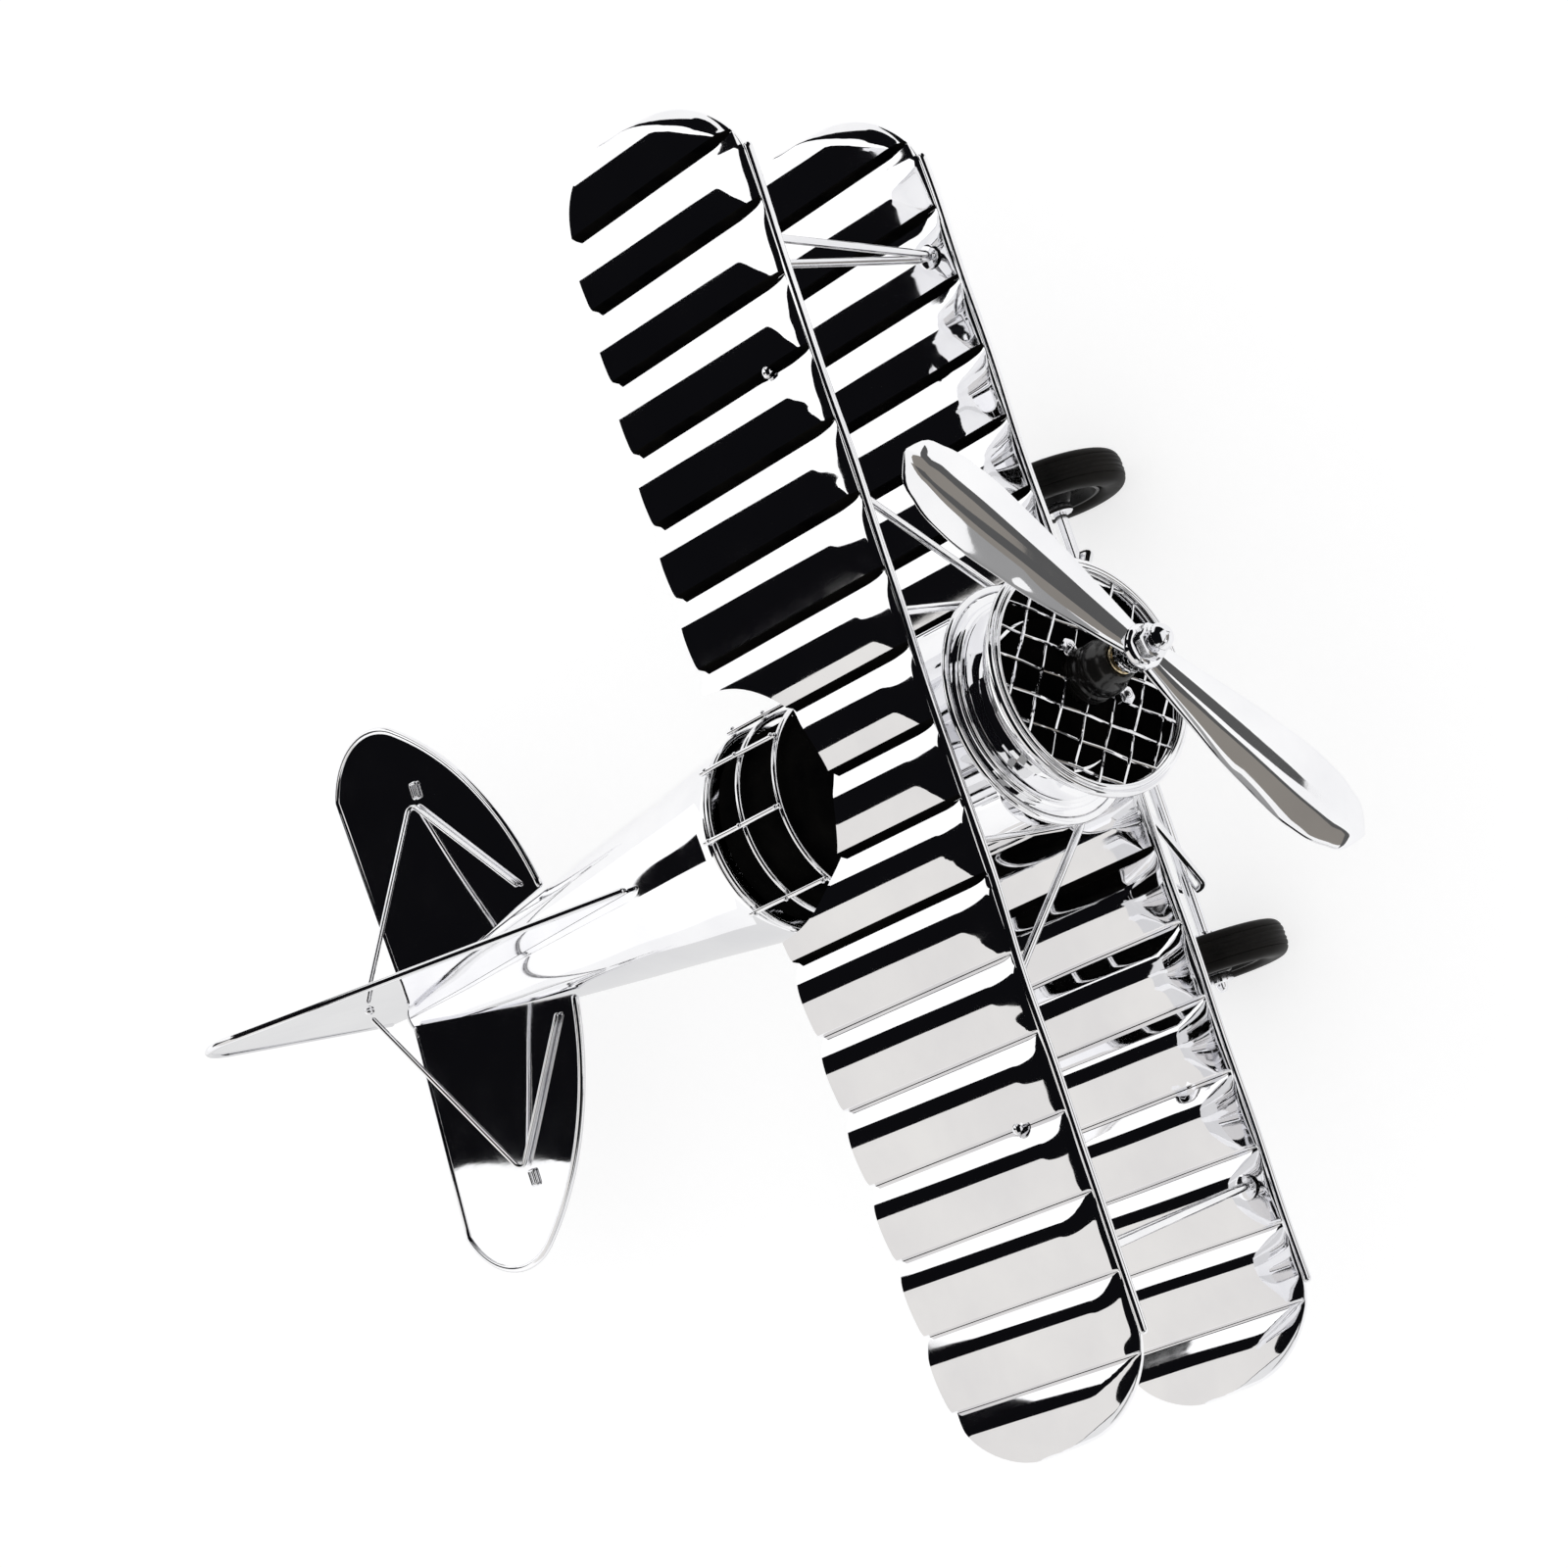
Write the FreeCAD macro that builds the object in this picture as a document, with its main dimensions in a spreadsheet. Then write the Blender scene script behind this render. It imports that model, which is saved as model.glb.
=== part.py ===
import FreeCAD, Part
import math
import os
import Sketcher

# Desk model of a biplane made of bright plated sheet metal and wire.
# The model is drawn in aircraft axes: X to the port wing tip, Y aft, Z up, with the origin on the
# leading edge of the upper wing. One stance placement then sets it down on its two wheels and
# tail skid, nose up, with the floor at Z = 0.

SIZES = {
    # stance on the floor
    "stance_pitch": 16.0, "stance_shift_y": -43.50, "stance_shift_z": 57.66,
    # wings: corrugated skins behind a straight leading edge tube
    "bay_pitch": 9.0, "bay_count": 18, "bay_rise": 1.1, "skin": 0.45,
    "edge_half": 69.5, "edge_back": 0.45, "tip_fore_x": 76.6, "tip_fore_y": 5.6,
    "half_wing": 79.4, "tip_mid_y": 15.6, "tip_aft_x": 77.8, "tip_aft_y": 25.0,
    "trail_half": 71.0, "trail_tip_y": 30.2, "trail_mid_y": 32.3, "cutout_radius": 15.1,
    "edge_tube_radius": 0.55, "edge_tube_y": -0.15, "edge_tube_half": 70.2, "edge_tube_drop": 0.3,
    "lower_wing_y": 1.45, "lower_wing_z": -30.8,
    # fuselage along its own axis
    "axis_z": -15.1, "shell_front_y": -1.1, "shell_back_y": 16.6, "shell_radius": 13.3, "shell_wall": 0.5,
    "hoop_radius": 12.9, "hoop_wire": 0.42, "hoop_front_y": 28.8, "hoop_middle_y": 35.4,
    "hoop_rear_y": 41.0, "longeron_wire": 0.32, "longeron_start_y": 28.1, "longeron_end_y": 42.2,
    "liner_radius": 11.9, "liner_wall": 0.6, "liner_front_y": 16.8, "liner_back_y": 40.3,
    "cone_front_y": 41.55, "cone_back_y": 116.0, "cone_front_radius": 12.9, "cone_back_radius": 3.4,
    "cone_wall": 0.45, "cap_length": 2.2, "cap_land": 0.4,
    # nose, in its own frame: origin at the centre of the grille ring, tilted up with the thrust line
    "nose_y": -10.8, "nose_z": -14.4, "nose_tilt": 6.0,
    "bezel_radius": 13.55, "bezel_wire": 0.65, "cowl_front_radius": 13.3, "cowl_back_radius": 9.6,
    "cowl_front_y": 0.95, "cowl_waist_y": 3.2, "cowl_back_y": 6.4, "cowl_wall": 0.5,
    "mesh_radius": 12.85, "mesh_wire": 0.42, "mesh_pitch": 3.4, "mesh_hole": 3.4,
    "case_radius": 3.2, "case_length": 6.6, "case_back_y": 1.2,
    "shaft_radius": 0.9, "shaft_front_y": -12.2, "shaft_back_y": 2.5, "bush_radius": 1.9,
    "running_gap": 0.05, "prop_y": -8.8, "prop_radius": 34.9, "prop_angle": 43.4,
    "hub_radius": 2.6, "hub_length": 2.4, "collar_radius": 1.85, "collar_length": 1.3, "nut_radius": 2.1,
    "nut_length": 1.3, "case_nut_radius": 1.15, "case_nut_length": 1.2, "case_nut_offset": 5.1,
    "retainer_radius": 1.9, "bulkhead_y": 5.2, "bulkhead_radius": 8.9,
    # firewall dish behind the cowl
    "dish_radius": 13.5, "dish_y": -1.7, "neck_radius": 8.2, "neck_y": -3.9, "dish_rim_wire": 0.45,
    # fin and tailplane
    "plate": 0.5, "rim_wire": 0.5, "fin_start_y": 60.0, "fin_top_y": 110.5, "fin_top_z": 22.6,
    "fin_round_y": 116.2, "fin_round_z": 21.2, "fin_back_y": 118.6, "fin_back_z": 15.6,
    "fin_foot_z": -11.0, "tail_z": -11.5, "tail_root_x": 7.2, "tail_root_y": 83.0,
    "tail_fore_x": 24.4, "tail_fore_y": 90.6, "tail_shoulder_x": 34.8, "tail_shoulder_y": 101.3,
    "tail_end_x": 36.7, "tail_end_y": 109.6, "tail_back_x": 30.6, "tail_back_y": 117.0,
    "tail_aft_x": 1.7, "tail_aft_y": 114.9,
    # tail braces: two wires from a lug on each tailplane
    "brace_wire": 0.35, "brace_bend": 0.8, "knot_x": 23.9, "knot_y": 101.5, "brace_fin_y": 106.0, "brace_fin_z": 2.5,
    "brace_root_x": 8.6, "brace_root_y": 86.5, "knot_lift": 0.5,
    "clip_length": 2.3, "clip_width": 1.4, "clip_height": 0.45,
    # struts between the wings
    "strut_wire": 0.5, "vee_foot_x": 57.9, "vee_foot_y": 4.2, "vee_foot_z": -28.15, "vee_bend": 0.75,
    "vee_top_x": 60.5, "vee_fore_y": 4.0, "vee_aft_y": 12.3, "vee_top_z": -0.35,
    "diagonal_top_x": 33.5, "diagonal_top_y": 6.0, "diagonal_top_z": -0.75,
    "diagonal_foot_x": 13.75, "diagonal_foot_y": 0.6, "diagonal_foot_z": -18.6,
    "strip_x": 13.35, "strip_thickness": 0.6, "strip_width": 2.2, "strip_y": 0.9, "strip_foot_z": -17.5,
    "strip_top_z": 0.5, "rivet_radius": 0.75, "rivet_x": 45.0, "rivet_y": 7.2,
    # undercarriage
    "axle_y": 11.9, "axle_z": -47.0, "axle_radius": 0.8, "axle_half": 34.6,
    "wheel_x": 30.3, "tyre_radius": 9.2, "tyre_half_width": 2.3, "tyre_inner_radius": 5.6,
    "hub_half_width": 1.9, "wheel_radius": 5.55, "stop_length": 1.2, "stop_radius": 1.7,
    "wheel_play": 0.15, "leg_wire": 0.55, "leg_top_x": 9.0, "leg_spread": 8.0, "leg_bend": 1.9,
    "leg_top_z": -31.75, "leg_foot_x": 20.5,
    # tail skid
    "skid_top_y": 103.0, "skid_foot_y": 106.5, "skid_wire": 0.8, "skid_pad_length": 7.0,
    "skid_pad_width": 5.0, "skid_pad_height": 0.9, "skid_clearance": 0.65,
}

V = FreeCAD.Vector
X_AXIS = V(1, 0, 0)
Y_AXIS = V(0, 1, 0)
Z_AXIS = V(0, 0, 1)
SIDES = (("port", 1), ("starboard", -1))

doc = FreeCAD.newDocument("biplane_model")
sheet = doc.addObject("Spreadsheet::Sheet", "Sizes")
for row, (alias, value) in enumerate(SIZES.items(), start=1):
    sheet.set("A%d" % row, alias)
    sheet.set("B%d" % row, repr(value))
    sheet.setAlias("B%d" % row, alias)
doc.recompute()

pieces = {}


def size(alias):
    return float(sheet.get(alias))


def bind(obj, prop, expression):
    obj.setExpression(prop, expression)


def shifted(x, y, z):
    return FreeCAD.Placement(V(x, y, z), FreeCAD.Rotation())


STANCE = FreeCAD.Placement(
    V(0, size("stance_shift_y"), size("stance_shift_z")),
    FreeCAD.Rotation(X_AXIS, -size("stance_pitch")))
NOSE = FreeCAD.Placement(
    V(0, size("nose_y"), size("nose_z")), FreeCAD.Rotation(X_AXIS, -size("nose_tilt")))
FUSELAGE = shifted(0, 0, size("axis_z"))


def keep(name, obj, local=None):
    """Names a finished sub-part and sets it down with the whole aircraft."""
    obj.Label = name
    obj.Placement = STANCE.multiply(local or obj.Placement)
    pieces[name] = obj
    return obj


# ---- sketches and solids -------------------------------------------------------------------

def new_body(name):
    return doc.addObject("PartDesign::Body", name + "_body")


def new_sketch(body, name, role):
    sketch = body.newObject("Sketcher::SketchObject", name)
    plane = [f for f in body.Origin.OriginFeatures if f.Role == role][0]
    sketch.AttachmentSupport = (plane, "")
    sketch.MapMode = "FlatFace"
    return sketch


def value_of(expression):
    return float(sheet.evalExpression(expression))


def draw(sketch, corners, bulges=None):
    """Draws a closed outline. Each corner is a pair of expressions of the sheet's cells; a segment
    that has a bulge is an arc through that middle point. Corners are held by dimensions bound to
    those expressions."""
    bulges = bulges or {}
    points = [V(value_of(u), value_of(w), 0) for u, w in corners]
    ends = []
    for index, start in enumerate(points):
        stop = points[(index + 1) % len(points)]
        if index in bulges:
            middle = V(value_of(bulges[index][0]), value_of(bulges[index][1]), 0)
            forward = (middle - start).cross(stop - middle).z > 0
            arc = Part.Arc(start, middle, stop) if forward else Part.Arc(stop, middle, start)
            number = sketch.addGeometry(arc, False)
            ends.append((number, 1, 2) if forward else (number, 2, 1))
        else:
            number = sketch.addGeometry(Part.LineSegment(start, stop), False)
            ends.append((number, 1, 2))
    joins = []
    for index, (number, first, last) in enumerate(ends):
        following = ends[(index + 1) % len(ends)]
        joins.append(Sketcher.Constraint("Coincident", number, last, following[0], following[1]))
    sketch.addConstraint(joins)
    for index, (number, first, last) in enumerate(ends):
        for kind, which, axis in (("DistanceX", 0, -2), ("DistanceY", 1, -1)):
            expression = corners[index][which]
            amount = points[index][which]
            if abs(amount) < 1e-9:
                sketch.addConstraint(Sketcher.Constraint("PointOnObject", number, first, axis))
                continue
            made = sketch.addConstraint(Sketcher.Constraint(kind, -1, 1, number, first, amount))
            tag = "%s%d" % ("u" if which == 0 else "w", index)
            sketch.renameConstraint(made, tag)
            sketch.setExpression("Constraints." + tag, expression)
    for index in bulges:
        number = ends[index][0]
        radius = sketch.Geometry[number].Radius
        sketch.addConstraint(Sketcher.Constraint("Radius", number, radius))


def cell(text):
    """Turns the words of a formula into references to the sheet."""
    words = []
    for word in text.split(" "):
        words.append("Sizes." + word if word in SIZES else word)
    return " ".join(words)


def cells(corners):
    return [(cell(u), cell(w)) for u, w in corners]


def turned(name, corners, axis="V_Axis", bulges=None):
    """A body turned about the sketch's vertical axis (Y) or horizontal axis (X)."""
    body = new_body(name)
    sketch = new_sketch(body, name + "_profile", "XY_Plane")
    draw(sketch, cells(corners), {k: cells([v])[0] for k, v in (bulges or {}).items()})
    spin = body.newObject("PartDesign::Revolution", name + "_turn")
    spin.Profile = sketch
    spin.ReferenceAxis = (sketch, [axis])
    spin.Angle = 360.0
    return body


def plate(name, role, corners, thickness, bulges=None, reverse=False):
    """A flat plate padded from an outline on an origin plane."""
    body = new_body(name)
    sketch = new_sketch(body, name + "_outline", role)
    draw(sketch, cells(corners), {k: cells([v])[0] for k, v in (bulges or {}).items()})
    pad = body.newObject("PartDesign::Pad", name + "_pad")
    pad.Profile = sketch
    pad.Reversed = reverse
    bind(pad, "Length", cell(thickness))
    return body


def cylinder(name, radius, length, placement=FreeCAD.Placement()):
    rod = doc.addObject("Part::Cylinder", name)
    bind(rod, "Radius", cell(radius))
    bind(rod, "Height", cell(length))
    rod.Placement = placement
    return rod


def along(start, stop):
    """Placement that lays a cylinder's axis from start to stop."""
    return FreeCAD.Placement(start, FreeCAD.Rotation(Z_AXIS, stop - start))


def rod_between(name, start_words, stop_words, side, radius):
    """A straight round rod between two points named in the sheet, mirrored for starboard."""
    start = V(side * value_of(cell(start_words[0])), *[value_of(cell(w)) for w in start_words[1:]])
    stop = V(side * value_of(cell(stop_words[0])), *[value_of(cell(w)) for w in stop_words[1:]])
    gaps = ["(%s) - (%s)" % (cell(b), cell(a)) for a, b in zip(start_words, stop_words)]
    rod = doc.addObject("Part::Cylinder", name)
    bind(rod, "Radius", cell(radius))
    bind(rod, "Height", "hypot(%s; %s; %s)" % tuple(gaps))
    rod.Placement = along(start, stop)
    return rod


def joined(name, members):
    fused = doc.addObject("Part::MultiFuse", name + "_joined")
    fused.Shapes = members
    return fused


def cut(name, base, tool):
    result = doc.addObject("Part::Cut", name + "_cut")
    result.Base = base
    result.Tool = tool
    return result


def swept_wire(name, path, radius):
    """A round wire bent along a path of lines and arcs."""
    wire = Part.Wire(path)
    first = wire.OrderedEdges[0]
    start = first.valueAt(first.FirstParameter)
    circle = Part.Wire([Part.makeCircle(radius, start, first.tangentAt(first.FirstParameter))])
    feature = doc.addObject("Part::Feature", name)
    feature.Shape = wire.makePipeShell([circle], True, False, 0)
    return feature


def hairpin(name, first_top, centre, last_top, bend, radius):
    """One wire that runs from a top end, round a bend about the centre, and back up to the other."""
    axis = (centre - first_top).cross(last_top - centre).normalize()
    touches = []
    for top, sign in ((first_top, 1), (last_top, -1)):
        toward = centre - top
        reach = toward.Length
        toward.normalize()
        outward = toward.cross(axis) * sign
        lean = math.asin(bend / reach)
        run = math.sqrt(reach ** 2 - bend ** 2)
        touches.append(top + toward * (run * math.cos(lean)) + outward * (run * math.sin(lean)))
    away = centre - (touches[0] + touches[1]) * 0.5
    if (centre - (first_top + last_top) * 0.5).dot(away) < 0:
        away = away * -1
    away = (centre - (first_top + last_top) * 0.5).normalize() if away.Length < 1e-6 else away.normalize()
    path = [Part.makeLine(first_top, touches[0]),
            Part.Arc(touches[0], centre + away * bend, touches[1]).toShape(),
            Part.makeLine(touches[1], last_top)]
    return swept_wire(name, path, radius)


# ---- wings ---------------------------------------------------------------------------------

def corrugated_skin(name):
    """One arched bay of sheet, repeated along the span; bays meet in sharp valleys."""
    body = new_body(name)
    sketch = new_sketch(body, name + "_bay", "XZ_Plane")
    corners = [("0 - bay_pitch * bay_count / 2", "0 - skin"),
               ("bay_pitch - bay_pitch * bay_count / 2", "0 - skin"),
               ("bay_pitch - bay_pitch * bay_count / 2", "0"),
               ("0 - bay_pitch * bay_count / 2", "0")]
    middle = "bay_pitch / 2 - bay_pitch * bay_count / 2"
    draw(sketch, cells(corners), {0: (cell(middle), cell("bay_rise - skin")),
                                  2: (cell(middle), cell("bay_rise"))})
    pad = body.newObject("PartDesign::Pad", name + "_bay_pad")
    pad.Profile = sketch
    pad.Reversed = True
    bind(pad, "Length", cell("trail_mid_y + 1"))
    doc.recompute()
    pattern = body.newObject("PartDesign::LinearPattern", name + "_bays")
    pattern.Originals = [pad]
    pattern.Direction = (sketch, ["H_Axis"])
    bind(pattern, "Length", cell("bay_pitch * ( bay_count - 1 )"))
    pattern.Occurrences = int(size("bay_count"))
    body.Tip = pattern
    return body


def planform(name, with_cutout):
    """The wing's outline: straight front, rounded tips, slightly bowed back."""
    corners = [("edge_half", "edge_back"), ("half_wing", "tip_mid_y"), ("trail_half", "trail_tip_y"),
               ("0 - trail_half", "trail_tip_y"), ("0 - half_wing", "tip_mid_y"),
               ("0 - edge_half", "edge_back")]
    bulges = {0: ("tip_fore_x", "tip_fore_y"), 1: ("tip_aft_x", "tip_aft_y"), 2: ("0", "trail_mid_y"),
              3: ("0 - tip_aft_x", "tip_aft_y"), 4: ("0 - tip_fore_x", "tip_fore_y")}
    body = plate(name, "XY_Plane", corners, "bay_rise * 6", bulges)
    body.Placement = shifted(0, 0, -3 * size("bay_rise"))
    if not with_cutout:
        return body
    hole = cylinder(name + "_cutout", "cutout_radius", "bay_rise * 8",
                    shifted(0, size("trail_mid_y"), -4 * size("bay_rise")))
    return cut(name + "_cutout", body, hole)


def wing(name, with_cutout, y, z):
    skin = corrugated_skin(name + "_skin")
    common = doc.addObject("Part::Common", name + "_trimmed")
    common.Base = skin
    common.Tool = planform(name + "_plan", with_cutout)
    keep(name, common, shifted(0, y, z))
    tube = cylinder(name + "_edge_bar", "edge_tube_radius", "edge_tube_half * 2")
    place = FreeCAD.Placement(V(-size("edge_tube_half"), y + size("edge_tube_y"), z - size("edge_tube_drop")),
                              FreeCAD.Rotation(Y_AXIS, 90))
    keep(name + "_leading_edge", tube, place)


def wings():
    wing("upper_wing", True, 0, 0)
    wing("lower_wing", False, size("lower_wing_y"), size("lower_wing_z"))


# ---- fuselage ------------------------------------------------------------------------------

def ring(name, radius, wire, y, local=FUSELAGE):
    torus = doc.addObject("Part::Torus", name + "_ring")
    bind(torus, "Radius1", cell(radius))
    bind(torus, "Radius2", cell(wire))
    place = local.multiply(FreeCAD.Placement(V(0, value_of(cell(y)), 0), FreeCAD.Rotation(X_AXIS, 90)))
    return keep(name, torus, place)


def fuselage():
    keep("fuselage_shell", turned("fuselage_shell", [
        ("shell_radius - shell_wall", "shell_front_y"), ("shell_radius", "shell_front_y"),
        ("shell_radius", "shell_back_y"), ("shell_radius - shell_wall", "shell_back_y")]), FUSELAGE)
    for where in ("front", "middle", "rear"):
        ring("cockpit_hoop_" + where, "hoop_radius", "hoop_wire", "hoop_%s_y" % where)
    keep("cockpit_liner", turned("cockpit_liner", [
        ("liner_radius - liner_wall", "liner_front_y"), ("liner_radius", "liner_front_y"),
        ("liner_radius", "liner_back_y"), ("liner_radius - liner_wall", "liner_back_y")]), FUSELAGE)
    keep("tail_cone", turned("tail_cone", [
        ("cone_front_radius - cone_wall", "cone_front_y"), ("cone_front_radius", "cone_front_y"),
        ("cone_back_radius", "cone_back_y"), ("cone_back_radius - cone_wall", "cone_back_y")]), FUSELAGE)
    keep("tail_cap", turned("tail_cap", [
        ("0", "cone_back_y + running_gap"), ("cone_back_radius", "cone_back_y + running_gap"),
        ("cap_land", "cone_back_y + running_gap + cap_length"),
        ("0", "cone_back_y + running_gap + cap_length")],
        bulges={1: ("cone_back_radius * 0.74", "cone_back_y + running_gap + cap_length * 0.68")}),
        FUSELAGE)


CAGE_ANGLES = (-72, -43, 0, 38, 72)


def longerons():
    """Straight wires laid over the hoops and riveted to them."""
    reach = size("hoop_radius") + size("hoop_wire") + size("longeron_wire") + 0.03
    rods = []
    for number, degrees in enumerate(CAGE_ANGLES):
        angle = math.radians(degrees)
        spot = V(reach * math.sin(angle), size("longeron_start_y"), reach * math.cos(angle))
        rods.append(cylinder("longeron_%d" % number, "longeron_wire",
                             "longeron_end_y - longeron_start_y",
                             FreeCAD.Placement(spot, FreeCAD.Rotation(X_AXIS, -90))))
    group = doc.addObject("Part::Compound", "longeron_group")
    group.Links = rods
    keep("cockpit_longerons", group, FUSELAGE)


def cage_rivets():
    """Small domed rivets where the longerons cross the hoops."""
    reach = size("hoop_radius") + size("hoop_wire") + 2 * size("longeron_wire") + 0.05
    heads = []
    for degrees in CAGE_ANGLES:
        for alias in ("hoop_front_y", "hoop_middle_y", "hoop_rear_y"):
            angle = math.radians(degrees)
            outward = V(math.sin(angle), 0, math.cos(angle))
            head = doc.addObject("Part::Sphere", "rivet_head")
            bind(head, "Radius", cell("longeron_wire + 0.08"))
            head.Angle1 = 0
            head.Placement = FreeCAD.Placement(outward * reach + V(0, size(alias), 0),
                                               FreeCAD.Rotation(Z_AXIS, outward))
            heads.append(head)
    group = doc.addObject("Part::Compound", "rivet_group")
    group.Links = heads
    keep("cage_rivets", group, FUSELAGE)


# ---- nose ----------------------------------------------------------------------------------

def cowl():
    keep("firewall_dish", turned("firewall_dish", [
        ("neck_radius", "neck_y"), ("neck_radius + shell_wall", "neck_y"),
        ("neck_radius + shell_wall * 2.4", "dish_y - shell_wall"),
        ("dish_radius", "dish_y - shell_wall * 0.6"), ("dish_radius", "dish_y + shell_wall * 0.4"),
        ("neck_radius + shell_wall * 1.4", "dish_y")]), FUSELAGE)
    ring("firewall_rim", "dish_radius + dish_rim_wire + 0.06", "dish_rim_wire", "dish_y")
    keep("cowl_shell", turned("cowl_shell", [
        ("cowl_front_radius - cowl_wall", "cowl_front_y"), ("cowl_front_radius", "cowl_front_y"),
        ("cowl_back_radius", "cowl_back_y"), ("cowl_back_radius - cowl_wall", "cowl_back_y")],
        bulges={1: ("cowl_front_radius * 0.93", "cowl_waist_y + 0.4"),
                3: ("cowl_front_radius * 0.93 - cowl_wall", "cowl_waist_y")}), NOSE)
    ring("grille_bezel", "bezel_radius", "bezel_wire", "0", NOSE)
    keep("nose_bulkhead", cylinder("bulkhead_disc", "bulkhead_radius", "cowl_wall"),
         NOSE.multiply(FreeCAD.Placement(V(0, size("bulkhead_y") + 0.5, 0),
                                         FreeCAD.Rotation(X_AXIS, 90))))


def grille():
    """Flat diamond mesh: two families of thin wires inside the ring, open at the crankcase."""
    wires = []
    half = int(size("mesh_radius") / size("mesh_pitch"))
    for turn, shift in ((36.5, -0.5), (-63.8, 1.55)):
        for step in range(-half - 1, half + 2):
            offset = step * size("mesh_pitch") + shift
            if abs(offset) > size("mesh_radius") - 0.6:
                continue
            reach = math.sqrt(max(size("mesh_radius") ** 2 - offset ** 2, 1.0))
            bar = doc.addObject("Part::Box", "mesh_bar")
            bar.Length = 2 * reach
            bind(bar, "Width", cell("mesh_wire"))
            bind(bar, "Height", cell("mesh_wire"))
            middle = FreeCAD.Placement(V(0, 0, 0), FreeCAD.Rotation(Y_AXIS, turn))
            bar.Placement = middle.multiply(shifted(-reach, -size("mesh_wire") / 2,
                                                    offset - size("mesh_wire") / 2))
            wires.append(bar)
    net = joined("grille_net", wires)
    disc = cylinder("grille_disc", "mesh_radius", "mesh_wire * 4",
                    FreeCAD.Placement(V(0, 2 * size("mesh_wire"), 0), FreeCAD.Rotation(X_AXIS, 90)))
    trimmed = doc.addObject("Part::Common", "grille_trimmed")
    trimmed.Base = net
    trimmed.Tool = disc
    hole = cylinder("grille_hole", "mesh_hole", "mesh_wire * 6",
                    FreeCAD.Placement(V(0, 3 * size("mesh_wire"), 0), FreeCAD.Rotation(X_AXIS, 90)))
    keep("grille_mesh", cut("grille_mesh", trimmed, hole), NOSE)


def crankcase():
    front = "case_back_y - case_length"
    keep("crankcase", turned("crankcase", [
        ("bush_radius + running_gap", "case_back_y"), ("case_radius", "case_back_y"),
        ("case_radius", front + " + 1"), ("case_radius - 0.8", front),
        ("bush_radius + running_gap", front)]), NOSE)
    keep("shaft_bush", turned("shaft_bush", [
        ("shaft_radius + running_gap", "case_back_y"), ("bush_radius", "case_back_y"),
        ("bush_radius", front + " - 0.4"), ("shaft_radius + running_gap", front + " - 0.4")]), NOSE)
    heads = []
    for sign in (-1, 1):
        prism = doc.addObject("Part::Prism", "case_nut")
        prism.Polygon = 6
        bind(prism, "Circumradius", cell("case_nut_radius"))
        bind(prism, "Height", cell("case_nut_length"))
        spot = V(sign * size("case_nut_offset") * 0.62, -0.5, sign * size("case_nut_offset") * 0.6)
        prism.Placement = FreeCAD.Placement(spot, FreeCAD.Rotation(X_AXIS, 90))
        heads.append(prism)
    group = doc.addObject("Part::Compound", "case_nut_group")
    group.Links = heads
    keep("crankcase_nuts", group, NOSE)


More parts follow.
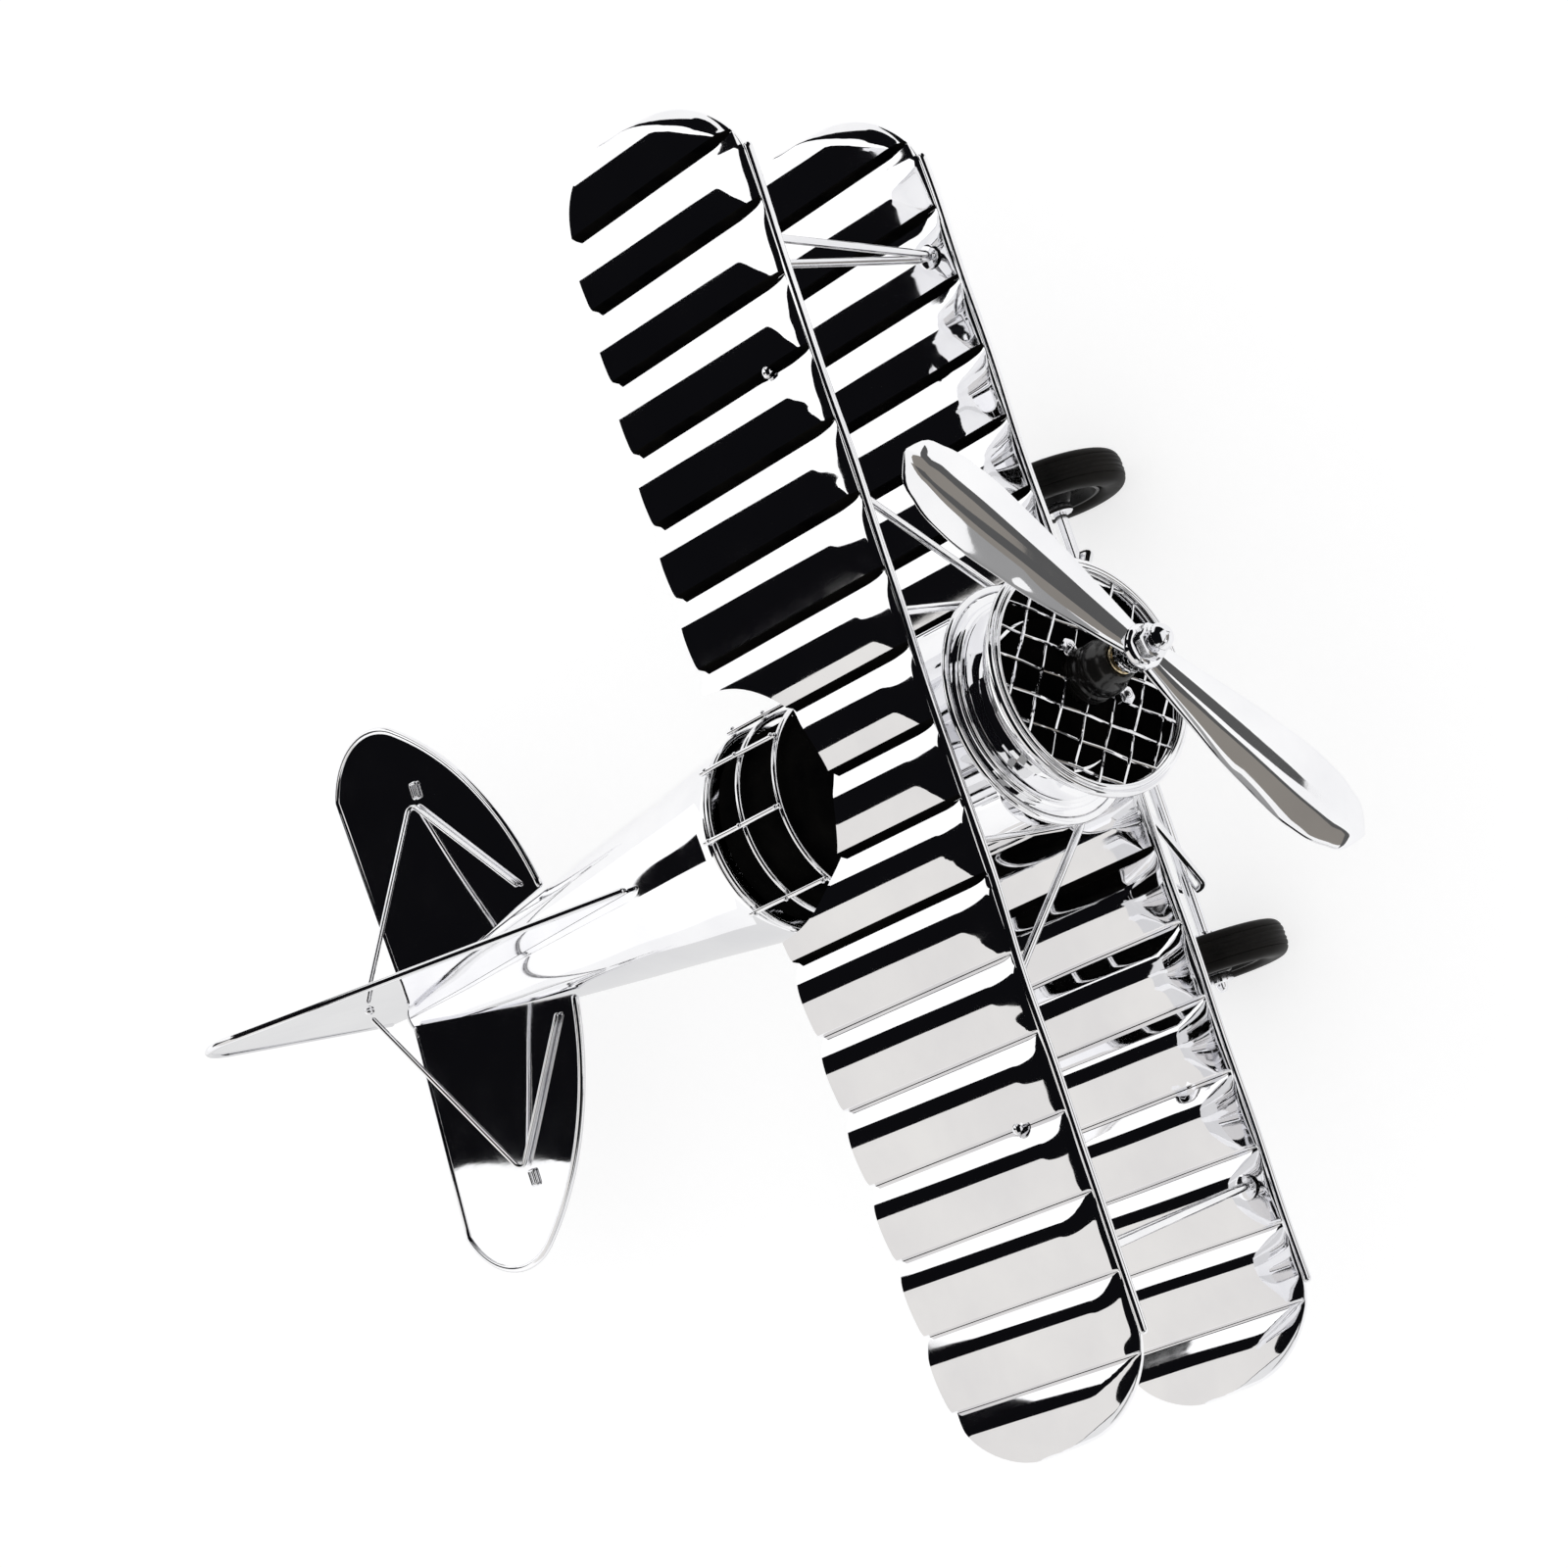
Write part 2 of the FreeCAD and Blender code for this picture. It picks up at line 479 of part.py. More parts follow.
def propeller():
    """Two twisted spoon-shaped blades on a round hub; the hub is bored for the shaft."""
    stations = ((2.0, 2.0, 0.62, 12), (8.0, 3.1, 0.6, 11), (17.0, 4.4, 0.6, 9), (25.5, 4.9, 0.5, 7.5),
                (32.0, 3.7, 0.4, 7), (34.9, 1.2, 0.25, 7))
    members = []
    for sign in (1, -1):
        sections = []
        for number, (reach, half_chord, half_thick, twist) in enumerate(stations):
            ellipse = doc.addObject("Part::Ellipse", "blade_section")
            ellipse.MajorRadius = half_chord
            ellipse.MinorRadius = half_thick
            scale = size("prop_radius") / stations[-1][0]
            face = FreeCAD.Placement(V(sign * reach * scale, 0, 0), FreeCAD.Rotation(Y_AXIS, 90))
            turn = FreeCAD.Placement(V(0, 0, 0), FreeCAD.Rotation(X_AXIS, -sign * twist))
            ellipse.Placement = turn.multiply(face)
            sections.append(ellipse)
        blade = doc.addObject("Part::Loft", "blade")
        blade.Sections = sections
        blade.Solid = True
        blade.Ruled = False
        members.append(blade)
    hub = cylinder("blade_hub", "hub_radius", "hub_length",
                   FreeCAD.Placement(V(0, size("hub_length") / 2, 0), FreeCAD.Rotation(X_AXIS, 90)))
    blank = joined("propeller_blank", members + [hub])
    bore = cylinder("propeller_bore", "shaft_radius + 0.02", "hub_length * 2",
                    FreeCAD.Placement(V(0, size("hub_length"), 0), FreeCAD.Rotation(X_AXIS, 90)))
    place = NOSE.multiply(FreeCAD.Placement(V(0, size("prop_y"), 0),
                                            FreeCAD.Rotation(Y_AXIS, -size("prop_angle"))))
    keep("propeller_blades", cut("propeller", blank, bore), place)
    keep("propeller_shaft", turned("propeller_shaft", [
        ("0", "shaft_front_y"), ("shaft_radius", "shaft_front_y"), ("shaft_radius", "shaft_back_y"),
        ("0", "shaft_back_y")]), NOSE)
    keep("propeller_collar", turned("propeller_collar", [
        ("shaft_radius + 0.02", "prop_y + hub_length / 2 + 0.03"),
        ("collar_radius", "prop_y + hub_length / 2 + 0.03"),
        ("collar_radius", "prop_y + hub_length / 2 + collar_length"),
        ("shaft_radius + 0.02", "prop_y + hub_length / 2 + collar_length")]), NOSE)
    keep("shaft_retainer", turned("shaft_retainer", [
        ("shaft_radius + 0.02", "case_back_y + 0.1"), ("retainer_radius", "case_back_y + 0.1"),
        ("retainer_radius", "shaft_back_y"), ("shaft_radius + 0.02", "shaft_back_y")]), NOSE)
    nut = doc.addObject("Part::Prism", "nut_blank")
    nut.Polygon = 6
    bind(nut, "Circumradius", cell("nut_radius"))
    bind(nut, "Height", cell("nut_length"))
    face = size("prop_y") - size("hub_length") / 2 - 0.03
    nut.Placement = FreeCAD.Placement(V(0, face, 0), FreeCAD.Rotation(X_AXIS, 90))
    hole = cylinder("nut_bore", "shaft_radius + 0.02", "nut_length * 2",
                    FreeCAD.Placement(V(0, face + size("nut_length") / 2, 0),
                                      FreeCAD.Rotation(X_AXIS, 90)))
    keep("propeller_nut", cut("propeller_nut", nut, hole), NOSE)
    keep("propeller_cap", turned("propeller_cap", [
        ("0", "shaft_front_y - 0.05"), ("nut_radius * 0.78", "shaft_front_y - 0.05"),
        ("cap_land", "shaft_front_y - 1.55"), ("0", "shaft_front_y - 1.55")],
        bulges={1: ("nut_radius * 0.62", "shaft_front_y - 1.1")}), NOSE)


# ---- tail ----------------------------------------------------------------------------------

def cone_radius(y):
    share = (y - size("cone_front_y")) / (size("cone_back_y") - size("cone_front_y"))
    return size("cone_front_radius") + share * (size("cone_back_radius") - size("cone_front_radius"))


def fin():
    """Upright plate on top of the cone, edged by a round wire."""
    start = V(0, size("fin_start_y"), size("axis_z") + cone_radius(size("fin_start_y")) + 0.75)
    top = V(0, size("fin_top_y"), size("fin_top_z"))
    round_point = V(0, size("fin_round_y"), size("fin_round_z"))
    back = V(0, size("fin_back_y"), size("fin_back_z"))
    foot = V(0, size("fin_back_y"), size("fin_foot_z"))
    path = [Part.makeLine(start, top), Part.Arc(top, round_point, back).toShape(),
            Part.makeLine(back, foot)]
    slope = "( cone_front_radius - cone_back_radius ) / ( cone_back_y - cone_front_y )"
    corners = [("fin_start_y", "axis_z + cone_front_radius - %s * ( fin_start_y - cone_front_y ) + 0.75"
                % slope),
               ("fin_top_y", "fin_top_z"), ("fin_back_y", "fin_back_z"), ("fin_back_y", "fin_foot_z"),
               ("cone_back_y", "axis_z + cone_back_radius + 0.1"),
               ("fin_start_y", "axis_z + cone_front_radius - %s * ( fin_start_y - cone_front_y ) + 0.1"
                % slope)]
    blank = plate("fin_blank", "YZ_Plane", corners, "plate", {1: ("fin_round_y", "fin_round_z")})
    blank.Placement = shifted(-size("plate") / 2, 0, 0)
    groove = swept_wire("fin_groove", path, size("rim_wire") + 0.04)
    keep("fin", cut("fin", blank, groove))
    keep("fin_rim", swept_wire("fin_rim_wire", path, size("rim_wire")))


def tailplane(side_name, side):
    def spot(x, y):
        return V(side * size(x), size(y), 0)
    path = [Part.Arc(spot("tail_root_x", "tail_root_y"), spot("tail_fore_x", "tail_fore_y"),
                     spot("tail_shoulder_x", "tail_shoulder_y")).toShape(),
            Part.Arc(spot("tail_shoulder_x", "tail_shoulder_y"), spot("tail_end_x", "tail_end_y"),
                     spot("tail_back_x", "tail_back_y")).toShape(),
            Part.makeLine(spot("tail_back_x", "tail_back_y"), spot("tail_aft_x", "tail_aft_y"))]
    sign = "" if side > 0 else "0 - "
    corners = [(sign + "tail_root_x", "tail_root_y"), (sign + "tail_shoulder_x", "tail_shoulder_y"),
               (sign + "tail_back_x", "tail_back_y"), (sign + "tail_aft_x", "tail_aft_y")]
    bulges = {0: (sign + "tail_fore_x", "tail_fore_y"), 1: (sign + "tail_end_x", "tail_end_y")}
    name = "tailplane_" + side_name
    blank = plate(name + "_blank", "XY_Plane", corners, "plate", bulges)
    blank.Placement = shifted(0, 0, -size("plate") / 2)
    groove = swept_wire(name + "_groove", path, size("rim_wire") + 0.04)
    level = shifted(0, 0, size("tail_z"))
    keep(name, cut(name, blank, groove), level)
    keep("tailplane_rim_" + side_name, swept_wire(name + "_rim_wire", path, size("rim_wire")), level)


def tail_brace(side_name, side):
    """One wire looped round a lug on the tailplane: an end climbs to the fin, an end runs inboard."""
    level = size("tail_z") + size("plate") / 2 + size("brace_wire") + 0.06
    upper = V(side * (size("plate") / 2 + 0.95), size("brace_fin_y"), size("brace_fin_z"))
    knot = V(side * size("knot_x"), size("knot_y"), level + size("knot_lift"))
    root = V(side * size("brace_root_x"), size("brace_root_y"), level)
    keep("tail_brace_" + side_name,
         hairpin("tail_brace_wire", upper, knot, root, size("brace_bend"), size("brace_wire")))


def brace_clips():
    """Small open rectangular links that lie beside the brace loops."""
    frames = []
    for side in (1, -1):
        outer = doc.addObject("Part::Box", "clip_outer")
        inner = doc.addObject("Part::Box", "clip_inner")
        for box, trim in ((outer, ""), (inner, " - 0.7")):
            bind(box, "Length", cell("clip_length" + trim))
            bind(box, "Width", cell("clip_width" + trim))
            bind(box, "Height", cell("clip_height" + (" * 3" if trim else "")))
        inner.Placement = shifted(0.35, 0.35, -size("clip_height"))
        frame = cut("clip", outer, inner)
        reach = size("knot_x") + 1.6 if side > 0 else -size("knot_x") - 1.6 - size("clip_length")
        frame.Placement = shifted(reach, size("knot_y") - 1.6,
                                  size("tail_z") + size("plate") / 2 + 0.03)
        frames.append(frame)
    group = doc.addObject("Part::Compound", "clip_group")
    group.Links = frames
    keep("brace_clips", group)


def fin_lugs():
    lugs = []
    for side in (1, -1):
        lug = cylinder("fin_lug", "brace_wire * 2", "0.55")
        lug.Placement = FreeCAD.Placement(
            V(side * (size("plate") / 2 + 0.05) - (0.55 if side < 0 else 0), size("brace_fin_y"),
              size("brace_fin_z")), FreeCAD.Rotation(Y_AXIS, 90))
        lugs.append(lug)
    group = doc.addObject("Part::Compound", "fin_lug_group")
    group.Links = lugs
    keep("fin_lugs", group)


# ---- struts --------------------------------------------------------------------------------

def struts(side_name, side):
    centre = V(side * size("vee_foot_x"), size("vee_foot_y"), size("vee_foot_z"))
    tops = [V(side * size("vee_top_x"), size(y), size("vee_top_z")) for y in ("vee_fore_y", "vee_aft_y")]
    keep("interplane_strut_" + side_name,
         hairpin("vee_" + side_name, tops[0], centre, tops[1], size("vee_bend"), size("strut_wire")))
    keep("diagonal_strut_" + side_name, rod_between(
        "diagonal_" + side_name, ("diagonal_foot_x", "diagonal_foot_y", "diagonal_foot_z"),
        ("diagonal_top_x", "diagonal_top_y", "diagonal_top_z"), side, "strut_wire"))
    strip = doc.addObject("Part::Box", "cabane_strip_" + side_name)
    bind(strip, "Length", cell("strip_thickness"))
    bind(strip, "Width", cell("strip_width"))
    bind(strip, "Height", cell("strip_top_z - strip_foot_z"))
    inner = size("strip_x") if side > 0 else -size("strip_x") - size("strip_thickness")
    keep("cabane_strut_" + side_name, strip, shifted(inner, size("strip_y"), size("strip_foot_z")))


def strut_feet():
    """Round washers under the bends of the interplane struts."""
    feet = []
    for side in (1, -1):
        foot = doc.addObject("Part::Cone", "strut_foot")
        bind(foot, "Radius1", cell("rivet_radius * 2"))
        bind(foot, "Radius2", cell("rivet_radius * 1.6"))
        foot.Height = 0.22
        foot.Placement = shifted(side * size("vee_foot_x"), size("vee_foot_y"),
                                 size("lower_wing_z") + size("bay_rise") + 0.03)
        feet.append(foot)
    group = doc.addObject("Part::Compound", "strut_foot_group")
    group.Links = feet
    keep("strut_feet", group)


def wing_rivets():
    heads = []
    for side in (1, -1):
        head = cylinder("wing_rivet_head", "rivet_radius", "rivet_radius * 0.8",
                        shifted(side * size("rivet_x"), size("rivet_y"), 0.35))
        heads.append(head)
    group = doc.addObject("Part::Compound", "wing_rivet_group")
    group.Links = heads
    keep("wing_rivets", group)


# ---- undercarriage -------------------------------------------------------------------------

def leg(side_name, side):
    """One wire from the lower wing, round under the axle and back up to the wing."""
    centre = V(side * size("leg_foot_x"), size("axle_y"), size("axle_z"))
    tops = [V(side * size("leg_top_x"), size("axle_y") + sign * size("leg_spread"), size("leg_top_z"))
            for sign in (-1, 1)]
    keep("gear_leg_" + side_name,
         hairpin("leg_" + side_name, tops[0], centre, tops[1], size("leg_bend"), size("leg_wire")))


def wheel(side_name, side):
    centre = FreeCAD.Placement(V(side * size("wheel_x"), size("axle_y"), size("axle_z")),
                               FreeCAD.Rotation())
    keep("tyre_" + side_name, turned("tyre_" + side_name, [
        ("0 - hub_half_width", "tyre_inner_radius"), ("hub_half_width", "tyre_inner_radius"),
        ("tyre_half_width", "tyre_inner_radius + 1.3"), ("tyre_half_width * 0.55", "tyre_radius"),
        ("0 - tyre_half_width * 0.55", "tyre_radius"),
        ("0 - tyre_half_width", "tyre_inner_radius + 1.3")], "H_Axis",
        {2: ("tyre_half_width * 0.95", "tyre_radius - 1.05"),
         4: ("0 - tyre_half_width * 0.95", "tyre_radius - 1.05")}), centre)
    keep("wheel_hub_" + side_name, turned("wheel_hub_" + side_name, [
        ("0 - hub_half_width", "axle_radius + running_gap"),
        ("hub_half_width", "axle_radius + running_gap"), ("hub_half_width", "axle_radius + 1.1"),
        ("0.45", "axle_radius + 1.9"), ("0.45", "wheel_radius - 0.8"),
        ("hub_half_width - 0.2", "wheel_radius"), ("0.2 - hub_half_width", "wheel_radius"),
        ("0 - 0.45", "wheel_radius - 0.8"), ("0 - 0.45", "axle_radius + 1.9"),
        ("0 - hub_half_width", "axle_radius + 1.1")], "H_Axis"), centre)


def axle():
    bar = cylinder("axle_bar", "axle_radius", "axle_half * 2")
    keep("axle", bar, FreeCAD.Placement(V(-size("axle_half"), size("axle_y"), size("axle_z")),
                                        FreeCAD.Rotation(Y_AXIS, 90)))


def axle_collars():
    """Four plain collars fixed on the axle, one on either side of each wheel."""
    collars = []
    middle = V(0, size("axle_y"), size("axle_z"))
    inner = size("wheel_x") - size("hub_half_width") - size("wheel_play") - size("stop_length")
    outer = size("wheel_x") + size("hub_half_width") + size("wheel_play")
    for start in (inner, outer, -inner - size("stop_length"), -outer - size("stop_length")):
        disc = cylinder("collar_disc", "stop_radius", "stop_length")
        hole = cylinder("collar_hole", "axle_radius + 0.02", "stop_length * 3",
                        shifted(0, 0, -size("stop_length")))
        ringed = cut("collar", disc, hole)
        ringed.Placement = FreeCAD.Placement(middle + V(start, 0, 0), FreeCAD.Rotation(Y_AXIS, 90))
        collars.append(ringed)
    group = doc.addObject("Part::Compound", "collar_group")
    group.Links = collars
    keep("axle_collars", group)


def tail_skid():
    """A bent strut under the cone that ends in a flat pad lying on the floor."""
    lift = STANCE.inverse()
    middle = STANCE.multVec(V(0, size("skid_foot_y"), 0)).y
    pad = doc.addObject("Part::Box", "skid_pad")
    bind(pad, "Length", cell("skid_pad_width"))
    bind(pad, "Width", cell("skid_pad_length"))
    bind(pad, "Height", cell("skid_pad_height"))
    pad.Placement = lift.multiply(shifted(-size("skid_pad_width") / 2,
                                          middle - size("skid_pad_length") / 2, 0))
    foot = lift.multVec(V(0, middle, size("skid_pad_height") * 0.85))
    top = V(0, size("skid_top_y"), size("axis_z") - cone_radius(size("skid_top_y")) - size("skid_clearance"))
    post = cylinder("skid_post", "skid_wire", "1")
    post.setExpression("Height", None)
    post.Height = (foot - top).Length
    post.Placement = along(foot, top)
    keep("tail_skid", joined("tail_skid", [pad, post]))


def saddle():
    """Block that carries the fuselage on the lower wing."""
    block = doc.addObject("Part::Box", "saddle_block")
    block.Length = 12.0
    block.Width = 14.0
    block.Height = 1.6
    block.Placement = shifted(-6.0, 6.0, size("lower_wing_z") + size("bay_rise") + 0.05)
    belly = cylinder("saddle_belly", "shell_radius + 0.06", "40",
                     FreeCAD.Placement(V(0, 30, size("axis_z")), FreeCAD.Rotation(X_AXIS, 90)))
    keep("wing_saddle", cut("wing_saddle", block, belly))


def main():
    wings()
    fuselage()
    longerons()
    cage_rivets()
    cowl()
    grille()
    crankcase()
    propeller()
    fin()
    fin_lugs()
    wing_rivets()
    axle()
    axle_collars()
    tail_skid()
    saddle()
    brace_clips()
    strut_feet()
    for side_name, side in SIDES:
        tailplane(side_name, side)
        tail_brace(side_name, side)
        struts(side_name, side)
        leg(side_name, side)
        wheel(side_name, side)
    doc.recompute()
    check_and_write()


def check_and_write():
    faults = ["%s: %s" % (obj.Name, obj.State) for obj in doc.Objects
              if "Invalid" in obj.State or "Error" in obj.State]
    for name, obj in pieces.items():
        if obj.Shape.isNull() or not obj.Shape.isValid():
            faults.append("%s has no valid shape" % name)
    if faults:
        raise RuntimeError("; ".join(faults))
    os.makedirs("parts", exist_ok=True)
    whole = None
    for name, obj in pieces.items():
        obj.Shape.exportStep(os.path.join("parts", name + ".step"))
        box = obj.Shape.optimalBoundingBox(False, False)
        whole = box if whole is None else whole.united(box)
        print("%-26s solids %2d  volume %9.2f  z %7.2f to %7.2f"
              % (name, len(obj.Shape.Solids), obj.Shape.Volume, box.ZMin, box.ZMax))
    print("whole: x %.2f %.2f  y %.2f %.2f  z %.2f %.2f" % (
        whole.XMin, whole.XMax, whole.YMin, whole.YMax, whole.ZMin, whole.ZMax))


main()
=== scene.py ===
import bpy
import math
import numpy as np
from mathutils import Matrix, Vector


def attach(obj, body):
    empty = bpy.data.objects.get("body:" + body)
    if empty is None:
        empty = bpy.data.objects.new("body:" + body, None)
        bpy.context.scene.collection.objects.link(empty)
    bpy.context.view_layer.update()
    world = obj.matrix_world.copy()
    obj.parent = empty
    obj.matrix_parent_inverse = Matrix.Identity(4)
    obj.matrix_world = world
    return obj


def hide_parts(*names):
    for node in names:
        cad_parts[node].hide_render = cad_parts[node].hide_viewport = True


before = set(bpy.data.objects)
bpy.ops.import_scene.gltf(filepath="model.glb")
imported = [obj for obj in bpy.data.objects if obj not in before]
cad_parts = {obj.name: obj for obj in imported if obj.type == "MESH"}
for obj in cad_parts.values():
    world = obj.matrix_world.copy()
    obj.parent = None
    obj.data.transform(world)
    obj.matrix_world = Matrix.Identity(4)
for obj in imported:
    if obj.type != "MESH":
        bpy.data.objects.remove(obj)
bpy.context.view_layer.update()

# The model is laid out in aircraft axes in millimetres: X to the port wing tip, Y aft, Z up, with
# the origin on the upper wing's leading edge. stand() sets points down nose up on the floor.
PITCH = math.radians(16.0)
SHIFT = np.array([0.0, -43.50, 57.66])
NOSE_TILT = math.radians(6.0)
NOSE_AT = np.array([0.0, -10.8, -14.4])
AXIS_Z = -15.1
SIDES = (("port", 1), ("starboard", -1))
TAU = 2 * math.pi


def turn_x(points, angle):
    """Turns points about X, nose up for a positive angle."""
    p = np.asarray(points, float)
    c, s = math.cos(angle), math.sin(angle)
    return np.stack([p[..., 0], p[..., 1] * c + p[..., 2] * s, p[..., 2] * c - p[..., 1] * s], -1)


def stand(points):
    return (turn_x(points, PITCH) + SHIFT) / 1000.0


def nose(points):
    """From the cowl's own axis, Y aft, to the aircraft's axes."""
    return turn_x(points, NOSE_TILT) + NOSE_AT


def hull_axis(points):
    """From the fuselage's own axis to the aircraft's axes."""
    return np.asarray(points, float) + [0, 0, AXIS_Z]


def aircraft(points):
    return np.asarray(points, float)


# ---- mesh helpers --------------------------------------------------------------------------

def add(name, data):
    obj = bpy.data.objects.new(name, data)
    bpy.context.scene.collection.objects.link(obj)
    return obj


def piece(name, parts, material, nodes, body="airframe", local=aircraft, sharp=40, wave=0.0,
          shade_mask=None, shade_material=None):
    """One object made of (points, faces) parts, which stands for the CAD nodes it replaces.

    local takes the points from the piece's own frame to the aircraft's. wave is the height of the
    unevenness in millimetres, and the mask marks the faces that take the second material, which
    paints shade near-black in creases and hollows.
    """
    points, faces = [], []
    for part_points, part_faces in parts:
        faces += [tuple(i + len(points) for i in face) for face in part_faces]
        points += list(local(part_points))
    points = np.array(points)
    if wave:
        points = points + ripple(points, wave)
    mesh = bpy.data.meshes.new(name)
    mesh.from_pydata(stand(points).tolist(), [], faces)
    mesh.validate()
    mesh.shade_smooth()
    mesh.set_sharp_from_angle(angle=math.radians(sharp))
    mesh.materials.append(material)
    if shade_mask is not None:
        mesh.materials.append(shade_material)
        mesh.polygons.foreach_set("material_index", shade_mask)
    obj = add(name, mesh)
    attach(obj, body)
    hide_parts(*nodes)


def ripple(points, height):
    """Slow hand-worked unevenness of thin sheet: a few crossed waves 9 to 30 mm long."""
    move = np.zeros_like(points)
    for number in range(7):
        spin = np.random.RandomState(40 + number)
        heading = unit(spin.normal(size=3))
        length = spin.uniform(9, 30)
        push = unit(spin.normal(size=3))
        phase = spin.uniform(0, TAU)
        move += np.sin(points @ heading * TAU / length + phase)[:, None] * push * height / 2.5
    return move


def grid(rows, wrap_rows=False, wrap_cols=False):
    """Faces over a rows x columns array of points."""
    array = np.asarray(rows, float)
    n, m = array.shape[:2]
    faces = []
    for i in range(n if wrap_rows else n - 1):
        for j in range(m if wrap_cols else m - 1):
            a, b = i * m + j, i * m + (j + 1) % m
            c, d = ((i + 1) % n) * m + (j + 1) % m, ((i + 1) % n) * m + j
            faces.append((a, b, c, d))
    return array.reshape(-1, 3), faces


def capped(rows, flip=False):
    """Faces along a stack of point rings, with one face over each end."""
    points, faces = grid(rows, False, True)
    n, m = len(rows), len(rows[0])
    for end in (tuple(range(m)), tuple(n * m - 1 - k for k in range(m))):
        faces.append(end[::-1] if flip else end)
    return points, faces


def unit(vector):
    return vector / np.linalg.norm(vector)


def circle(count):
    return np.linspace(0, TAU, count, endpoint=False)


DOME_STEPS = (0.0, 0.45, 0.8, 0.97)  # how far along the half round end of a wire its rings stand


def tube(path, radius, ring=16, closed=False):
    """Round wire along a path, with domed ends unless it is closed."""
    p = np.asarray(path, float)
    radii = [radius] * len(p)
    if not closed:
        first, last = unit(p[0] - p[1]), unit(p[-1] - p[-2])
        head = [p[0] + first * radius * (k - 1) for k in DOME_STEPS[::-1]]
        tail = [p[-1] + last * radius * (k - 1) for k in DOME_STEPS]
        ends = [radius * math.sqrt(1 - k * k) for k in DOME_STEPS]
        radii = ends[::-1] + radii[1:-1] + ends
        p = np.array(head + list(p[1:-1]) + tail)
    ahead = np.roll(p, -1, 0) - np.roll(p, 1, 0) if closed else np.gradient(p, axis=0)
    ahead /= np.linalg.norm(ahead, axis=1)[:, None]
    side = np.cross(ahead[0], [0, 0, 1.0])
    if np.linalg.norm(side) < 0.1:
        side = np.cross(ahead[0], [0, 1.0, 0])
    rows = []
    for here, along, r in zip(p, ahead, radii):
        side = unit(side - along * side.dot(along))
        up = np.cross(along, side)
        rows.append([here + r * (math.cos(a) * side + math.sin(a) * up) for a in circle(ring)])
    return grid(rows, True, True) if closed else capped(rows)


def lathe(profile, turns, axis="y"):
    """Turns a closed loop of (along, radius) points about the axis into a solid wall."""
    rows = []
    for a in circle(turns):
        c, s = math.cos(a), math.sin(a)
        rows.append([[r * s, y, r * c] if axis == "y" else [y, r * s, r * c] for y, r in profile])
    return grid(rows, True, True)


def arc(centre, radius, start, stop, count):
    """Points of a plane arc, in degrees, as (along, radius) pairs."""
    return [(centre[0] + radius * math.cos(a), centre[1] + radius * math.sin(a))
            for a in np.radians(np.linspace(start, stop, count))]


def rounded_ring(corner_x, corner_y, centre_y, radius, count):
    """Outline of a rectangle with round corners, as (x, y) pairs from corner to corner."""
    return [(cx * corner_x + radius * math.cos(a), centre_y + cy * corner_y + radius * math.sin(a))
            for cx, cy, start in ((1, 1, 0), (-1, 1, 90), (-1, -1, 180), (1, -1, 270))
            for a in np.radians(np.linspace(start, start + 90, count))]


def bead(y, r, wire):
    """A closed circular profile: a rolled wire ring."""
    return arc((y, r), wire, 0, 330, 12)


def smooth(xs, ys, count):
    """Soft curve through a few stations."""
    xs, ys = np.asarray(xs, float), np.asarray(ys, float)
    slope = np.gradient(ys, xs)
    out_x = np.linspace(xs[0], xs[-1], count)
    k = np.clip(np.searchsorted(xs, out_x, side="right") - 1, 0, len(xs) - 2)
    h = xs[k + 1] - xs[k]
    t = (out_x - xs[k]) / h
    out = ((2 * t ** 3 - 3 * t ** 2 + 1) * ys[k] + (t ** 3 - 2 * t ** 2 + t) * h * slope[k]
           + (3 * t ** 2 - 2 * t ** 3) * ys[k + 1] + (t ** 3 - t ** 2) * h * slope[k + 1])
    return out_x, out


def circle_through(a, b, c):
    a, b, c = (np.array(p, float) for p in (a, b, c))
    system = 2 * np.array([b - a, c - a])
    centre = np.linalg.solve(system, [b.dot(b) - a.dot(a), c.dot(c) - a.dot(a)])
    return centre, np.linalg.norm(a - centre)


def arc_points(a, b, c, count):
    """Points of the plane arc from a through b to c."""
    centre, radius = circle_through(a, b, c)
    first, last = (math.atan2(p[1] - centre[1], p[0] - centre[0]) for p in (a, c))
    ccw = ((b[0] - a[0]) * (c[1] - b[1]) - (b[1] - a[1]) * (c[0] - b[0])) > 0
    sweep = (last - first) % TAU if ccw else -((first - last) % TAU)
    return [centre + radius * np.array([math.cos(first + sweep * t), math.sin(first + sweep * t)])
            for t in np.linspace(0, 1, count)]


def hairpin(first, centre, last, bend):
    """Path of one wire from its first end, round a bend about the centre, to its last end."""
    first, centre, last = (np.array(p, float) for p in (first, centre, last))
    axis = unit(np.cross(centre - first, last - centre))
    touches = []
    for top, sign in ((first, 1), (last, -1)):
        toward = centre - top
        reach = np.linalg.norm(toward)
        toward /= reach
        outward = np.cross(toward, axis) * sign
        lean, run = math.asin(bend / reach), math.sqrt(reach ** 2 - bend ** 2)
        touches.append(top + run * (toward * math.cos(lean) + outward * math.sin(lean)))
    away = unit(centre - (first + last) / 2)
    across = touches[0] - centre
    across = unit(across - away * across.dot(away))
    start, stop = (math.atan2((t - centre).dot(away), (t - centre).dot(across)) for t in touches)
    bends = [centre + bend * (across * math.cos(a) + away * math.sin(a))
             for a in np.linspace(start, stop, 15)]
    down, rise = line(first, touches[0], 12), line(touches[1], last, 12)
    return np.array(list(down) + bends[1:-1] + list(rise))


def line(start, stop, count):
    t = np.linspace(0, 1, count)[:, None]
    return np.array(start, float) * (1 - t) + np.array(stop, float) * t


